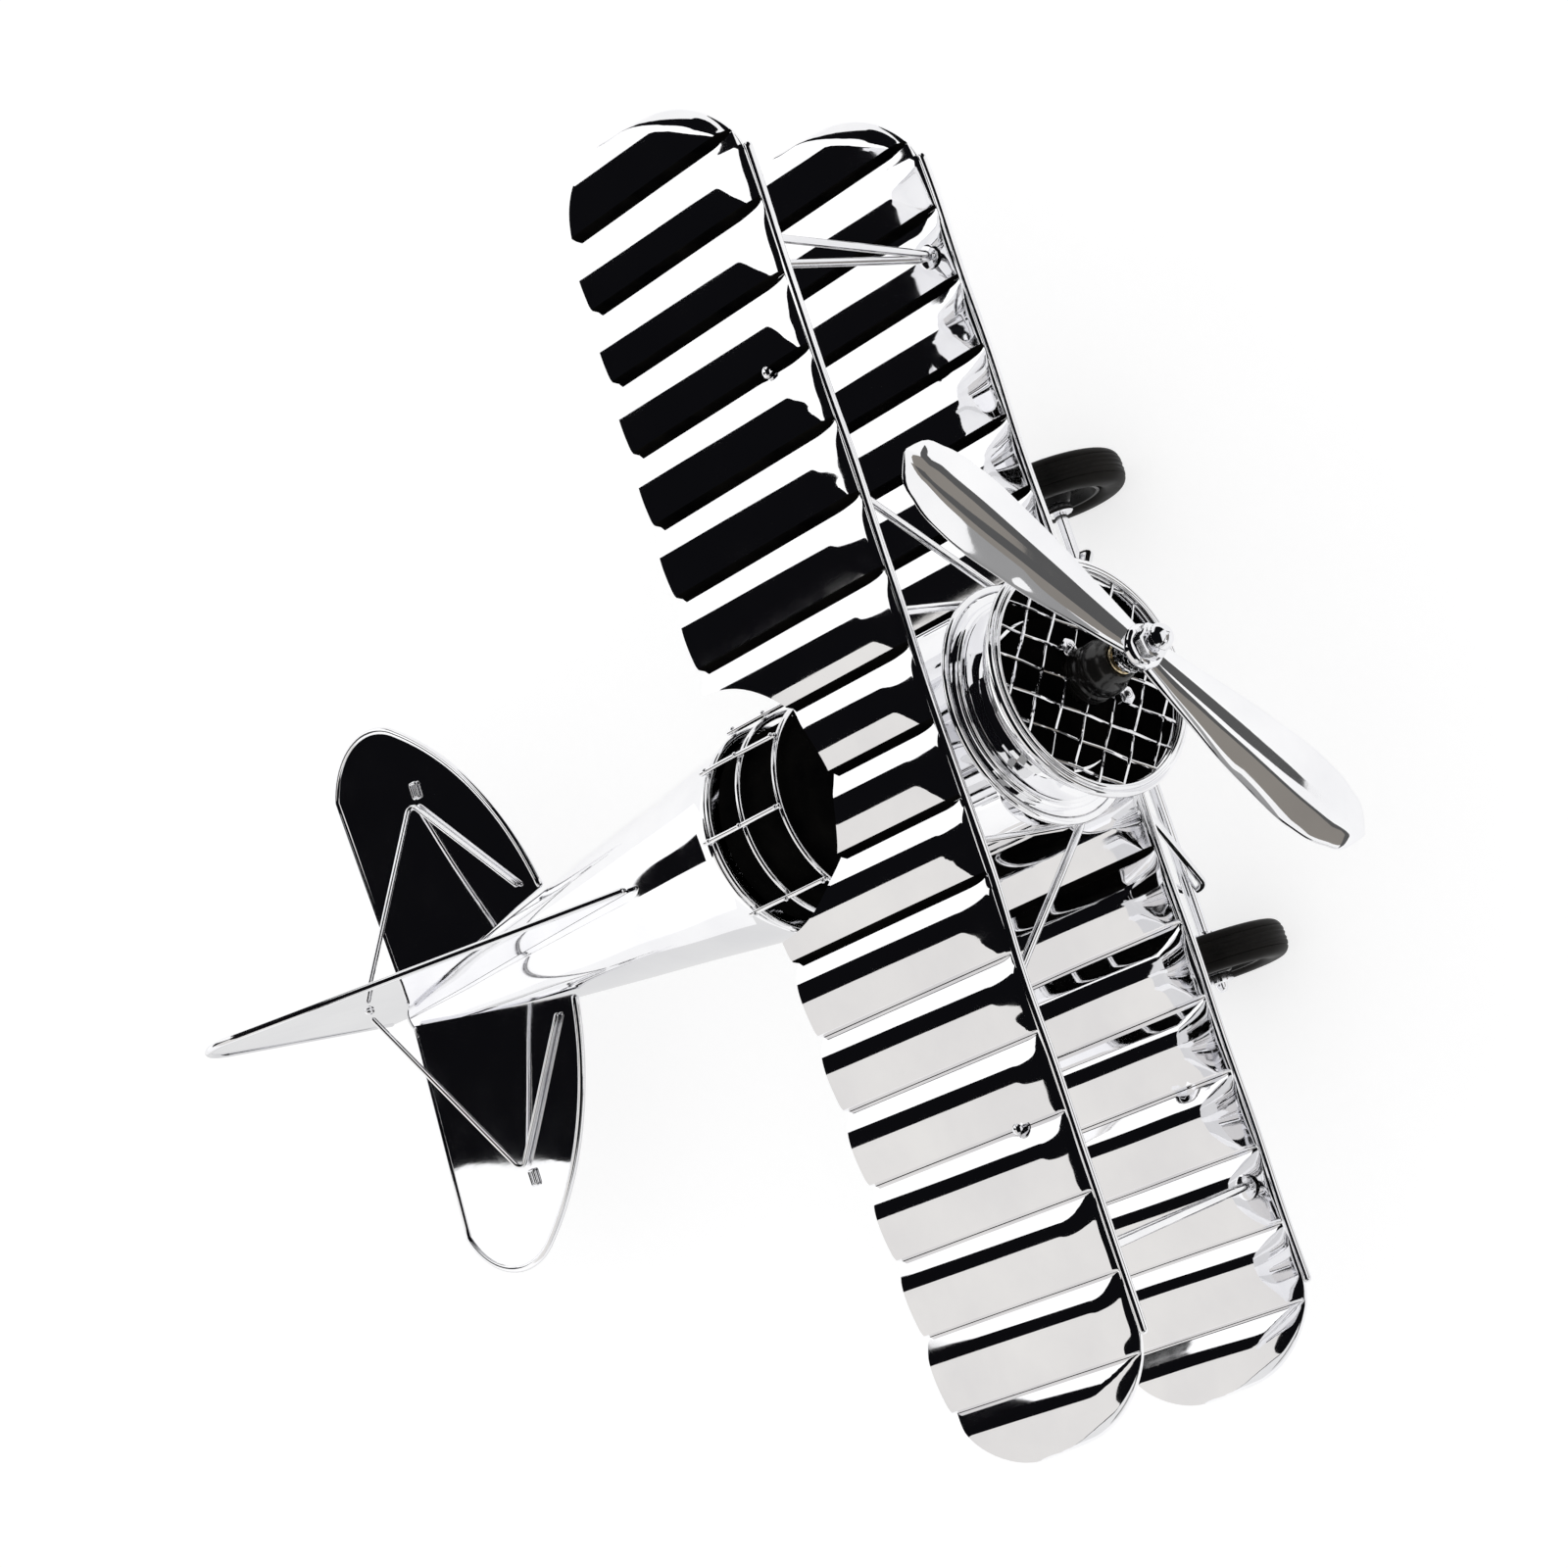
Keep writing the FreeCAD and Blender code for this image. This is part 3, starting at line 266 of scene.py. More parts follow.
def wander(path, amount, seed):
    """Bends a straight wire by a few hundredths of a millimetre, as hand-set wire is."""
    spin = np.random.RandomState(seed)
    t = np.linspace(0, 1, len(path))
    out = np.array(path, float)
    for k in (1, 2, 3):
        out += np.sin(math.pi * k * t)[:, None] * spin.normal(size=3) * amount / k
    return out


# ---- materials -----------------------------------------------------------------------------

def material(name):
    mat = bpy.data.materials.new(name)
    mat.use_nodes = True
    nodes, links = mat.node_tree.nodes, mat.node_tree.links
    return mat, nodes["Principled BSDF"], nodes, links


def noise_node(nodes, links, coords, scale, detail, rough, stretch=None):
    tex = nodes.new("ShaderNodeTexNoise")
    tex.inputs["Scale"].default_value = scale
    tex.inputs["Detail"].default_value = detail
    tex.inputs["Roughness"].default_value = rough
    source = coords.outputs["Object"]
    if stretch:
        mapping = nodes.new("ShaderNodeMapping")
        mapping.inputs["Scale"].default_value = stretch
        links.new(source, mapping.inputs["Vector"])
        source = mapping.outputs["Vector"]
    links.new(source, tex.inputs["Vector"])
    return tex


def ramp(nodes, links, noise, low, high):
    """Spreads the middle of a noise over low to high."""
    out = nodes.new("ShaderNodeMapRange")
    out.inputs["From Min"].default_value = 0.35
    out.inputs["From Max"].default_value = 0.65
    out.inputs["To Min"].default_value = low
    out.inputs["To Max"].default_value = high
    links.new(noise.outputs["Fac"], out.inputs["Value"])
    return out.outputs[0]


def blend_colour(nodes, links, noise, first, second):
    mix = nodes.new("ShaderNodeMix")
    mix.data_type = "RGBA"
    mix.inputs["A"].default_value = (*first, 1)
    mix.inputs["B"].default_value = (*second, 1)
    links.new(ramp(nodes, links, noise, 0, 1), mix.inputs["Factor"])
    return mix.outputs["Result"]


def bump_node(nodes, links, noise, distance, strength, under=None):
    bump = nodes.new("ShaderNodeBump")
    bump.inputs["Distance"].default_value = distance
    bump.inputs["Strength"].default_value = strength
    links.new(noise.outputs["Fac"], bump.inputs["Height"])
    if under:
        links.new(under, bump.inputs["Normal"])
    return bump.outputs["Normal"]


def metal(name, bright, dull, rough, ripple_depth=0.00001, rub_scale=900.0):
    """Polished metal: faint clouds in colour and gloss, hairline rub marks and a slow ripple."""
    mat, shader, nodes, links = material(name)
    shader.inputs["Metallic"].default_value = 1.0
    coords = nodes.new("ShaderNodeTexCoord")
    clouds = noise_node(nodes, links, coords, scale=60.0, detail=4.0, rough=0.6)
    links.new(blend_colour(nodes, links, clouds, bright, dull), shader.inputs["Base Color"])
    smears = noise_node(nodes, links, coords, scale=130.0, detail=5.0, rough=0.65)
    links.new(ramp(nodes, links, smears, *rough), shader.inputs["Roughness"])
    slow = noise_node(nodes, links, coords, scale=95.0, detail=1.0, rough=0.4)
    hair = noise_node(nodes, links, coords, scale=rub_scale, detail=2.0, rough=0.6,
                      stretch=(1.0, 0.12, 1.0))
    soft = bump_node(nodes, links, slow, ripple_depth, 0.5)
    links.new(bump_node(nodes, links, hair, 0.000002, 0.35, soft), shader.inputs["Normal"])
    return mat


def coated(name, colour, second, rough, grain=500.0, depth=0.00001, specular=0.5):
    """Paint, plastic or rubber: mottled dark colour with a fine grain."""
    mat, shader, nodes, links = material(name)
    shader.inputs["Specular IOR Level"].default_value = specular
    coords = nodes.new("ShaderNodeTexCoord")
    clouds = noise_node(nodes, links, coords, scale=140.0, detail=5.0, rough=0.6)
    links.new(blend_colour(nodes, links, clouds, colour, second), shader.inputs["Base Color"])
    links.new(ramp(nodes, links, clouds, *rough), shader.inputs["Roughness"])
    grains = noise_node(nodes, links, coords, scale=grain, detail=3.0, rough=0.6)
    links.new(bump_node(nodes, links, grains, depth, 0.5), shader.inputs["Normal"])
    return mat


PLATE = metal("plated_sheet", (0.93, 0.93, 0.94), (0.86, 0.86, 0.88), (0.015, 0.05))
WIRE = metal("plated_wire", (0.92, 0.92, 0.93), (0.80, 0.80, 0.82), (0.03, 0.09))
TURNED = metal("plated_turning", (0.90, 0.90, 0.92), (0.78, 0.78, 0.80), (0.04, 0.12),
               ripple_depth=0.000006, rub_scale=1400.0)
BRASS = metal("turned_brass", (0.80, 0.68, 0.46), (0.62, 0.50, 0.32), (0.10, 0.22),
              ripple_depth=0.000006, rub_scale=1400.0)
# Near-black matte material without gloss: painted shade put in the cockpit and the cowl, where the
# hollows are only dark.
SHADE_LINING = coated("black_lining", (0.0012, 0.0012, 0.0014), (0.004, 0.0038, 0.0035), (0.35, 0.55),
                specular=0.0)
# Near-black matte material for the faces in the wing creases: painted shade, not a patina.
CREASE_SHADE = coated("crease_painted_shade", (0.001, 0.001, 0.0012), (0.005, 0.0045, 0.004), (0.4, 0.6),
              specular=0.0)
CASTING = coated("dark_casting", (0.003, 0.003, 0.0032), (0.012, 0.011, 0.010), (0.10, 0.22),
                 grain=900.0, depth=0.00002)
RUBBER = coated("tyre_rubber", (0.005, 0.0048, 0.0045), (0.011, 0.010, 0.009), (0.36, 0.55),
                grain=1500.0, depth=0.00002, specular=0.05)
DISC = coated("black_wheel_disc", (0.003, 0.003, 0.003), (0.007, 0.007, 0.007), (0.2, 0.35),
              specular=0.12)


# ---- wings ---------------------------------------------------------------------------------

BAY, BAYS = 9.0, 18                  # width of a bay and how many there are
HALF_SPAN = BAY * BAYS / 2
SKIN = 0.4                           # thickness of the sheet
EDGE_TOP = 0.22                      # height of the sheet at its leading edge
STRAIGHT = 69.5                      # the leading edge runs straight out to here
BACK_END, BACK_MIDDLE = (71.0, 30.2), (0.0, 32.3)
CUTOUT = 15.1                        # radius of the notch in front of the cockpit
RIVET_AT = (45.0, 7.2)
EDGE_BAR_END = np.array([70.2, -0.15, -0.3])

# Share of the way across a bay, from its starboard crease at -1 to its port crease at 1, and the
# slope of the sheet there in degrees.
TILT_AT = [-1, -0.60, -0.43, -0.32, -0.17, 0.0, 0.15, 0.28, 0.41, 0.45, 0.50, 0.55, 1.0]
TILT = [-9.5, -9.3, -7.7, -5.9, -4.0, -0.7, 2.7, 6.0, 9.5, 13.0, 19.0, 24.0, 24.0]

# The same across, and how far behind the leading edge the sheet there starts to come down to it.
FALL_AT = [-1.0, -0.9, -0.75, -0.6, -0.5, -0.43, -0.2, 0.2, 0.45, 0.55, 0.7, 0.85, 0.95, 1.0]
FALL = [1.8, 2.0, 2.6, 3.3, 3.8, 4.1, 4.6, 5.0, 4.8, 4.4, 3.4, 2.4, 1.8, 1.6]


def bay_section():
    """Height across one bay: a long gentle slope, a crown, a steeper fall, a step at the crease."""
    s = np.linspace(-1, 1, 1601)
    soften = 20
    tilt = np.pad(np.interp(s, TILT_AT, TILT), soften, mode="edge")
    tilt = np.convolve(tilt, np.ones(2 * soften + 1) / (2 * soften + 1), mode="valid")
    fall = np.tan(np.radians(tilt))
    drop = np.cumsum((fall[1:] + fall[:-1]) / 2 * (s[1] - s[0]) * BAY / 2)
    height = -np.concatenate([[0], drop])
    height -= height[-1]
    lip = np.clip((-s - 0.94) / 0.06, 0, 1)
    return s, height - height[0] * lip


def wing_outline():
    """Half the wing's plan: the front as far as the tip, and the back as far as the tip."""
    front = arc_points((STRAIGHT, 0.45), (76.6, 5.6), (79.4, 15.6), 60)
    back = arc_points((79.4, 15.6), (77.8, 25.0), BACK_END, 60)
    rim = np.array(front + back[1:])
    widest = int(np.argmax(rim[:, 0]))
    return rim[:widest + 1], rim[widest:][::-1]


def wing_columns(tip, cutout):
    """Places across the span where the sheet is sampled, closer together at creases and ends."""
    share = (1 - np.cos(np.linspace(0, math.pi, 25))) / 2
    share = np.concatenate([share, [0.012, 0.03, 0.05, 0.95, 0.97, 0.988]])
    columns = set(np.round([BAY * (b - BAYS / 2 + t) for b in range(BAYS) for t in share], 4))
    columns = [x for x in columns if abs(x) < tip - 0.02]
    extra = [tip - 0.01, tip - 0.1, tip - 0.3, tip - 0.7]
    if cutout:
        extra += [15.08, 15.0, 14.85, 14.6, 14.3, 13.9]
    return np.array(sorted(set(columns + extra + [-x for x in extra])))


def wing_top(columns, lead, trail, cutout, bays):
    """Upper side of the sheet, one row of points per column, and each column's place in its bay."""
    back_centre, back_radius = circle_through(BACK_END, BACK_MIDDLE, (-BACK_END[0], BACK_END[1]))
    across, section = bay_section()
    steps = np.concatenate([np.linspace(0, 1, 27)[:-1] ** 1.5 * 0.2, np.linspace(0.2, 1, 34)])
    top = np.zeros((len(columns), len(steps), 3))
    shares = []
    for i, x in enumerate(columns):
        out = abs(x)
        bay = min(int((x + HALF_SPAN) // BAY), BAYS - 1)
        height, skew, reach = bays[bay]
        s = 2 * ((x + HALF_SPAN) / BAY - bay) - 1
        shares.append(s)
        y0 = -0.1 if out <= STRAIGHT else float(np.interp(out, lead[:, 0], lead[:, 1])) - 0.55
        y1 = back_centre[1] + math.sqrt(back_radius ** 2 - x * x)
        if out > BACK_END[0]:
            y1 = float(np.interp(out, trail[:, 0], trail[:, 1]))
        if cutout and out < CUTOUT:
            y1 = BACK_MIDDLE[1] - math.sqrt(CUTOUT ** 2 - x * x)
        elif out < BACK_END[0]:
            y1 -= 0.42 * max(0, (abs(s) - 0.70) / 0.30) ** 2.5
        behind = (y1 - y0) * steps
        arch = height * np.interp(s + skew * (1 - s * s), across, section)
        near = np.clip(1 - behind / (np.interp(s, FALL_AT, FALL) * reach), 0, 1)
        brow = np.clip(1 - behind / 0.9, 0, 1)
        keep = 1 - 0.8 * near ** 1.3 - 0.2 * (1 - np.sqrt(1 - brow ** 2))
        edge = EDGE_TOP - 0.5 * min(max((out - STRAIGHT) / 3.0, 0.0), 1.0)
        top[i, :, 0] = x
        top[i, :, 1] = y0 + behind
        top[i, :, 2] = edge + (arch - edge) * keep
        top[i, :, 2] += 0.0054 * max(0.0, x - 65) ** 2
    for side, depth in ((1, 0.10), (-1, 0.28)):
        gap = np.hypot(top[:, :, 0] - side * RIVET_AT[0], top[:, :, 1] - RIVET_AT[1])
        top[:, :, 2] -= depth * np.exp(-gap ** 2)
    return top, shares


def wing(name, offset, cutout, seed, uneven):
    """One corrugated skin, with shade painted near-black into its creases, and the bar in its
    leading edge.
    """
    lead, trail = wing_outline()
    spin = np.random.RandomState(seed)
    bays = [(spin.uniform(0.98, 1.05), spin.uniform(-0.04, 0.04), spin.uniform(0.85, 1.15))
            for _ in range(BAYS)]
    columns = wing_columns(lead[-1, 0], cutout)
    top, shares = wing_top(columns, lead, trail, cutout, bays)
    under = top - [0, 0, SKIN]
    loop = np.concatenate([top, under[:, ::-1]], axis=1)
    points, faces = grid(loop, False, True)
    m = loop.shape[1]
    half = m // 2
    # The faces at the foot of each crease step take the near-black material: painted shade in the
    # crease. Except in the starboard bays beyond x = -25 mm, the band is wider so that it also
    # paints shade over the highlight at the step's edge.
    shade_mask = []
    for i, x in enumerate(columns[:-1]):
        inside = max(shares[i], shares[i + 1]) < (-0.89 if x > -25 else -0.985)
        shade_mask += [1 if inside and k < half - 1 else 0 for k in range(m)]
    for base, order in ((0, 1), ((len(columns) - 1) * m, -1)):
        for k in range(half - 1):
            quad = (base + k, base + k + 1, base + m - 2 - k, base + m - 1 - k)
            faces.append(quad[::order])
            shade_mask.append(0)
    points = points + np.array([0.0, *offset])
    piece(name + "_skin", [(points, faces)], PLATE, [name], sharp=50, wave=uneven,
          shade_mask=shade_mask, shade_material=CREASE_SHADE)
    path = line(EDGE_BAR_END * [-1, 1, 1], EDGE_BAR_END, 141) + np.array([0.0, *offset])
    spin = np.random.RandomState(seed + 5)
    for axis in (1, 2) * 4:
        length, phase = spin.uniform(14, 60), spin.uniform(0, TAU)
        path[:, axis] += 0.04 * np.sin(path[:, 0] * TAU / length + phase)
    piece(name + "_edge_bar", [tube(path, 0.55, 24)], WIRE, [name + "_leading_edge"])


# ---- fuselage ------------------------------------------------------------------------------

DRUM_RADIUS = 12.9                   # to the middle of a hoop's wire
HOOPS = (("front", 28.8), ("middle", 35.4), ("rear", 41.0))
ROD_RADIUS, ROD_START, ROD_END = 13.67, 28.1, 42.2
ROD_ANGLES = (-72, -43, 0, 38, 72)
CONE_START, CONE_END, CONE_TAPER = 41.55, 116.0, 9.5


def fuselage():
    wall = [(-1.0, 12.8)] + arc((-0.75, 13.05), 0.3, 200, 20, 9) + [(0.2, 13.2), (8.0, 13.28)]
    wall += [(15.3, 13.2)] + arc((16.25, 13.05), 0.32, 160, -40, 9) + [(16.55, 12.75), (8.0, 12.75)]
    piece("fuselage_drum", [lathe(wall, 128)], PLATE, ["fuselage_shell"],
          local=hull_axis, wave=0.05)
    for where, y in HOOPS:
        piece("cage_hoop_" + where, [lathe(bead(y, DRUM_RADIUS, 0.42), 128)], WIRE,
              ["cockpit_hoop_" + where], local=hull_axis)
    # A black sleeve inside the drum under the cage: painted shade for the dark hollow of the
    # cockpit.
    shade_sleeve = [(16.8, 11.3), (16.8, 11.9), (40.3, 11.9), (40.3, 11.3)]
    piece("cockpit_painted_shade_sleeve", [lathe(shade_sleeve, 96)], SHADE_LINING, ["cockpit_liner"],
          local=hull_axis)
    rods, heads = [], []
    for number, a in enumerate(np.radians(ROD_ANGLES)):
        out = np.array([math.sin(a), 0, math.cos(a)])
        rod = line(out * ROD_RADIUS + [0, ROD_START, 0], out * ROD_RADIUS + [0, ROD_END, 0], 30)
        rods.append(tube(wander(rod, 0.03, number), 0.32, 12))
        heads += [dome(out * (ROD_RADIUS + 0.31) + [0, y, 0], out, 0.3, 0.26) for _, y in HOOPS]
    piece("cage_rods", rods, WIRE, ["cockpit_longerons"], local=hull_axis)
    piece("cage_rivet_heads", heads, TURNED, ["cage_rivets"], local=hull_axis)


def dome(centre, outward, radius, height):
    """A low round rivet head with a flat underside."""
    outward = unit(np.array(outward, float))
    side = unit(np.cross(outward, [0.3, 1.0, 0.2]))
    up = np.cross(outward, side)
    rows = []
    for a in np.linspace(0, math.pi / 2, 7):
        r, h = radius * math.cos(a) + 0.001, height * math.sin(a)
        rows.append([centre + outward * h + r * (math.cos(b) * side + math.sin(b) * up)
                     for b in circle(16)])
    return capped(rows)


def cone_radius(y):
    return DRUM_RADIUS - (y - CONE_START) / (CONE_END - CONE_START) * CONE_TAPER


def tail_cone():
    outer = [(y, cone_radius(y)) for y in np.linspace(CONE_START, CONE_END, 60)]
    roll = arc((41.85, 12.75), 0.3, 250, 90, 8)
    skin = roll + outer[1:] + [(CONE_END, 2.95), (42.0, 12.35)]
    piece("tail_cone_skin", [lathe(skin, 128)], PLATE, ["tail_cone"],
          local=hull_axis, wave=0.07)
    start, flatten = 116.05, 0.64
    cap = [(start, 0.01), (start, 3.2)]
    cap += [(start + (y - start) * flatten, r) for y, r in arc((start, 0.0), 3.4, 84, 8, 12)]
    piece("tail_cone_cap", [lathe(cap + [(118.2, 0.01)], 64)], PLATE, ["tail_cap"],
          local=hull_axis)


def saddle():
    """Block between drum and lower wing, hollowed on top to the drum's curve."""
    low, high, corner, seat = -29.65, -28.05, 1.2, 13.36
    rows = []
    for z, inset in ((low, 0.5), (low + 0.15, 0.12), (low + 0.45, 0.0), (high - 0.1, 0.0)):
        ring = rounded_ring(4.8, 5.8, 13.0, corner - inset, 8)
        rows.append([[x, y, min(z, AXIS_Z - math.sqrt(seat ** 2 - x * x)) if z > -29 else z]
                     for x, y in ring])
    piece("wing_saddle_block", [capped(rows, flip=True)], PLATE, ["wing_saddle"])


# ---- nose ----------------------------------------------------------------------------------

def cowl():
    dish = [(-3.9, 8.2), (-3.9, 8.7), (-3.4, 9.2), (-2.5, 9.6), (-2.2, 10.4), (-2.15, 11.4)]
    dish += arc((-2.0, 12.2), 0.45, 230, 60, 9) + [(-1.75, 12.9), (-1.9, 13.45), (-1.55, 13.5)]
    dish += [(-1.35, 13.0), (-1.3, 12.0), (-1.7, 9.4), (-3.0, 8.7)]
    piece("firewall_pan", [lathe(dish, 128)], PLATE, ["firewall_dish"],
          local=hull_axis, wave=0.03)
    piece("firewall_wire", [lathe(bead(-1.7, 14.0, 0.45), 128)], WIRE,
          ["firewall_rim"], local=hull_axis)
    ys, rs = smooth([0.95, 2.0, 3.4, 4.8, 5.8, 6.4], [13.3, 13.1, 12.35, 11.0, 9.9, 9.6], 40)
    outer = list(zip(ys, rs))
    inner = [(y, r - 0.5) for y, r in outer[::-1]]
    points, faces = lathe(outer + inner, 128)
    n = len(outer)
    # The bowl's inner wall takes the near-black material: painted shade inside the cowl, behind the
    # grille.
    shaded_inside = [1 if n <= k % (2 * n) < 2 * n - 1 else 0 for k in range(len(faces))]
    piece("cowl_bowl", [(points, faces)], PLATE, ["cowl_shell"], local=nose,
          wave=0.03, shade_mask=shaded_inside, shade_material=SHADE_LINING)
    rings = [bead(0.1, 13.75, 0.5), bead(-0.28, 13.15, 0.36), bead(0.3, 12.95, 0.3)]
    piece("grille_ring", [lathe(ring, 144) for ring in rings], WIRE,
          ["grille_bezel"], local=nose)
    # A guessed disc closing the cowl's neck, near-black as painted shade for the dark inside of the
    # cowl.
    bulkhead = [(5.15, 0.01), (5.15, 8.6), (5.3, 8.85), (5.6, 8.85), (5.65, 0.01)]
    piece("nose_bulkhead_disc", [lathe(bulkhead, 96)], SHADE_LINING, ["nose_bulkhead"],
          local=nose)


MESH_TURNS = (math.radians(36.5), math.radians(-63.8))
MESH_SHIFTS = (-0.5, 1.55)
MESH_GAP, MESH_REACH, MESH_HOLE = 3.4, 12.85, 3.4


def woven_mesh():
    """Two families of round wire that pass over and under each other at every crossing."""
    wires = []
    for family, turn in enumerate(MESH_TURNS):
        other = MESH_TURNS[1 - family]
        along = np.array([math.cos(turn), 0, -math.sin(turn)])
        across = np.array([math.sin(turn), 0, math.cos(turn)])
        crossing = np.array([math.sin(other), 0, math.cos(other)])
        for step in range(-4, 5):
            offset = step * MESH_GAP + MESH_SHIFTS[family]
            if abs(offset) > MESH_REACH - 0.6:
                continue
            half = math.sqrt(max(MESH_REACH ** 2 - offset ** 2, 1.0))
            cuts = [(-half, half)]
            if abs(offset) < MESH_HOLE:
                stop = math.sqrt(MESH_HOLE ** 2 - offset ** 2)
                cuts = [(-half, -stop), (stop, half)]
            for start, end in cuts:
                t = np.linspace(start, end, max(int((end - start) * 4), 8))
                path = np.outer(t, along) + across * offset
                phase = (path @ crossing - MESH_SHIFTS[1 - family]) / MESH_GAP
                over = 1 if (step + family) % 2 else -1
                path[:, 1] += 0.11 * over * np.cos(math.pi * phase)
                wires.append(tube(path, 0.19, 8))
    piece("grille_wires", wires, WIRE, ["grille_mesh"], local=nose)


def hexagon(centre, radius, start, stop, bore=0.02, bevel=0.22):
    """Hexagonal nut along Y with rounded-off corners at both faces."""
    def at(r, y, a):
        return [centre[0] + r * math.cos(a), y, centre[1] + r * math.sin(a)]
    outside = ((start, bevel), (start + bevel * 0.6, 0), (stop - bevel * 0.6, 0), (stop, bevel))
    rows = [[at(radius - inset, y, math.radians(60 * k + 10) + lean) for k in range(6)
             for lean in (-0.1, 0.1)] for y, inset in outside]
    rows += [[at(bore, y, math.radians(30 * k)) for k in range(12)] for y in (stop, start)]
    return grid(rows, True, True)


NUT_X, NUT_Z = 3.16, 3.06


def crankcase():
    case = [(1.2, 1.96), (1.2, 3.1), (0.9, 3.2), (-0.9, 3.2), (-1.1, 2.95), (-1.5, 2.95),
            (-1.7, 3.2), (-3.2, 3.2), (-3.6, 2.9), (-4.4, 2.6), (-5.1, 2.45), (-5.4, 2.2),
            (-5.4, 1.96)]
    fins = [lathe([(y, 2.9), (y, 3.28), (y + 0.25, 3.28), (y + 0.25, 2.9)], 64)
            for y in (-2.1, -2.7, -0.4, 0.2)]
    piece("crankcase_body", [lathe(case, 72)] + fins, CASTING, ["crankcase"],
          local=nose)
    bush = [(1.2, 0.96), (1.2, 1.88), (-5.4, 1.88), (-5.55, 1.85), (-5.75, 1.6), (-5.8, 0.96)]
    piece("shaft_bush_sleeve", [lathe(bush, 64)], BRASS, ["shaft_bush"], local=nose)
    nuts = [hexagon((s * NUT_X, s * NUT_Z), 1.12, -1.65, -0.5) for s in (-1, 1)]
    studs = [tube([[s * NUT_X, y, s * NUT_Z] for y in (-2.2, -1.7, -1.2)], 0.5, 14)
             for s in (-1, 1)]
    piece("crankcase_nut_set", nuts + studs, TURNED, ["crankcase_nuts"],
          local=nose)


BLADE_TURN = math.radians(43.4)
BLADE_Y = -8.8


def on_propeller(points):
    """From the propeller's own frame, blades along X, to the nose frame."""
    c, s = math.cos(BLADE_TURN), math.sin(BLADE_TURN)
    p = np.asarray(points, float)
    x, y, z = p[..., 0], p[..., 1], p[..., 2]
    return nose(np.stack([x * c - z * s, y + BLADE_Y, x * s + z * c], -1))


def blade(sign):
    """A spoon blade whose front carries a ridge: a broad flat band, a stripe and a dished lens."""
    reach = [1.2, 5.0, 10.0, 14.0, 18.0, 26.0, 31.0, 33.8, 34.85]
    stations, around = 56, 40
    half = smooth(reach, [1.9, 2.6, 3.4, 4.05, 4.45, 4.9, 4.0, 2.3, 0.25], stations)[1]
    thick = smooth(reach, [0.6, 0.55, 0.5, 0.45, 0.42, 0.36, 0.3, 0.24, 0.1], stations)[1]
    xs, twist = smooth(reach, [12, 11.5, 11, 10, 9, 7.5, 7, 7, 7], stations)
    chord = -np.cos(np.linspace(0, math.pi, around))
    rim = np.sqrt(1 - np.abs(chord) ** 6 * 0.999)
    rows = []
    for x, h, t, angle in zip(xs, half, thick, twist):
        c, s = math.cos(math.radians(angle)), math.sin(math.radians(angle)) * sign
        wide = min(max((x - 5) / 12, 0.0), 1.0)
        lean = np.interp(chord, [-1, -0.25, -0.12, 0.24, 0.29, 0.34, 0.39, 1.0],
                         [0, 0, 10, 10, 3, 3, 10 + 8 * wide, 12 + 8 * wide]) - sign * angle
        fall = np.tan(np.radians(lean))
        depth = np.cumsum((fall[1:] + fall[:-1]) / 2 * np.diff(chord) * h)
        depth = np.concatenate([[0], depth])
        depth -= depth[np.argmin(np.abs(chord))]
        y = np.concatenate([depth - t * rim, (depth + 0.7 * t * rim)[::-1]])
        z = h * np.concatenate([chord, chord[::-1]])
        rows.append(np.stack([np.full(2 * around, sign * x), y * c + z * s, z * c - y * s], -1))
    return capped(rows)


def propeller():
    hub = [(1.2, 0.92), (1.2, 2.1), (0.75, 2.5), (1.0, 2.45), (0.6, 2.6), (-0.6, 2.6)]
    hub += [(-1.0, 2.45), (-1.2, 2.1), (-1.2, 0.92)]
    piece("propeller_airscrew", [blade(1), blade(-1), lathe(hub, 64)], PLATE,
          ["propeller_blades"], body="propeller", local=on_propeller, sharp=55, wave=0.025)
    shaft = [(-12.2, 0.01), (-12.2, 0.75), (-12.05, 0.9), (2.35, 0.9), (2.5, 0.75), (2.5, 0.01)]
    collar = [(-7.57, 0.92), (-7.57, 2.0), (-7.4, 2.2), (-7.15, 2.2), (-7.0, 1.95), (-6.85, 2.15),
              (-6.5, 2.15), (-6.3, 1.95), (-6.3, 0.92)]
    retainer = [(1.3, 0.92), (1.3, 1.75), (1.45, 1.9), (2.35, 1.9), (2.5, 1.75), (2.5, 0.92)]
    for name, node, profile in (("propeller_shaft_rod", "propeller_shaft", shaft),
                                ("propeller_collar_ring", "propeller_collar", collar),
                                ("shaft_retainer_ring", "shaft_retainer", retainer)):
        piece(name, [lathe(profile, 64)], TURNED, [node], body="propeller",
              local=nose)
    piece("propeller_lock_nut", [hexagon((0, 0), 2.1, -11.33, -10.03, 0.92)], TURNED,
          ["propeller_nut"], body="propeller", local=nose)
    start, flatten = -12.25, 0.93
    cap = [(start, 0.01), (start, 1.3), (-12.4, 1.6)] + arc((-12.45, 0.0), 1.62, 80, 8, 9)
    cap = [(start - abs(y - start) * flatten, r) for y, r in cap] + [(-13.75, 0.01)]
    piece("propeller_cap_dome", [lathe(cap, 48)], TURNED, ["propeller_cap"],
          body="propeller", local=nose)


# ---- tail ----------------------------------------------------------------------------------

SHEET = 0.5                          # thickness of the fin and the tailplanes
TAIL_Z = -11.5
LUG_AT = (106.0, 2.5)                # the fin lug, where the tail braces start
BACK_TOP, BACK_LOW = (118.6, 15.6), (118.6, -11.0)


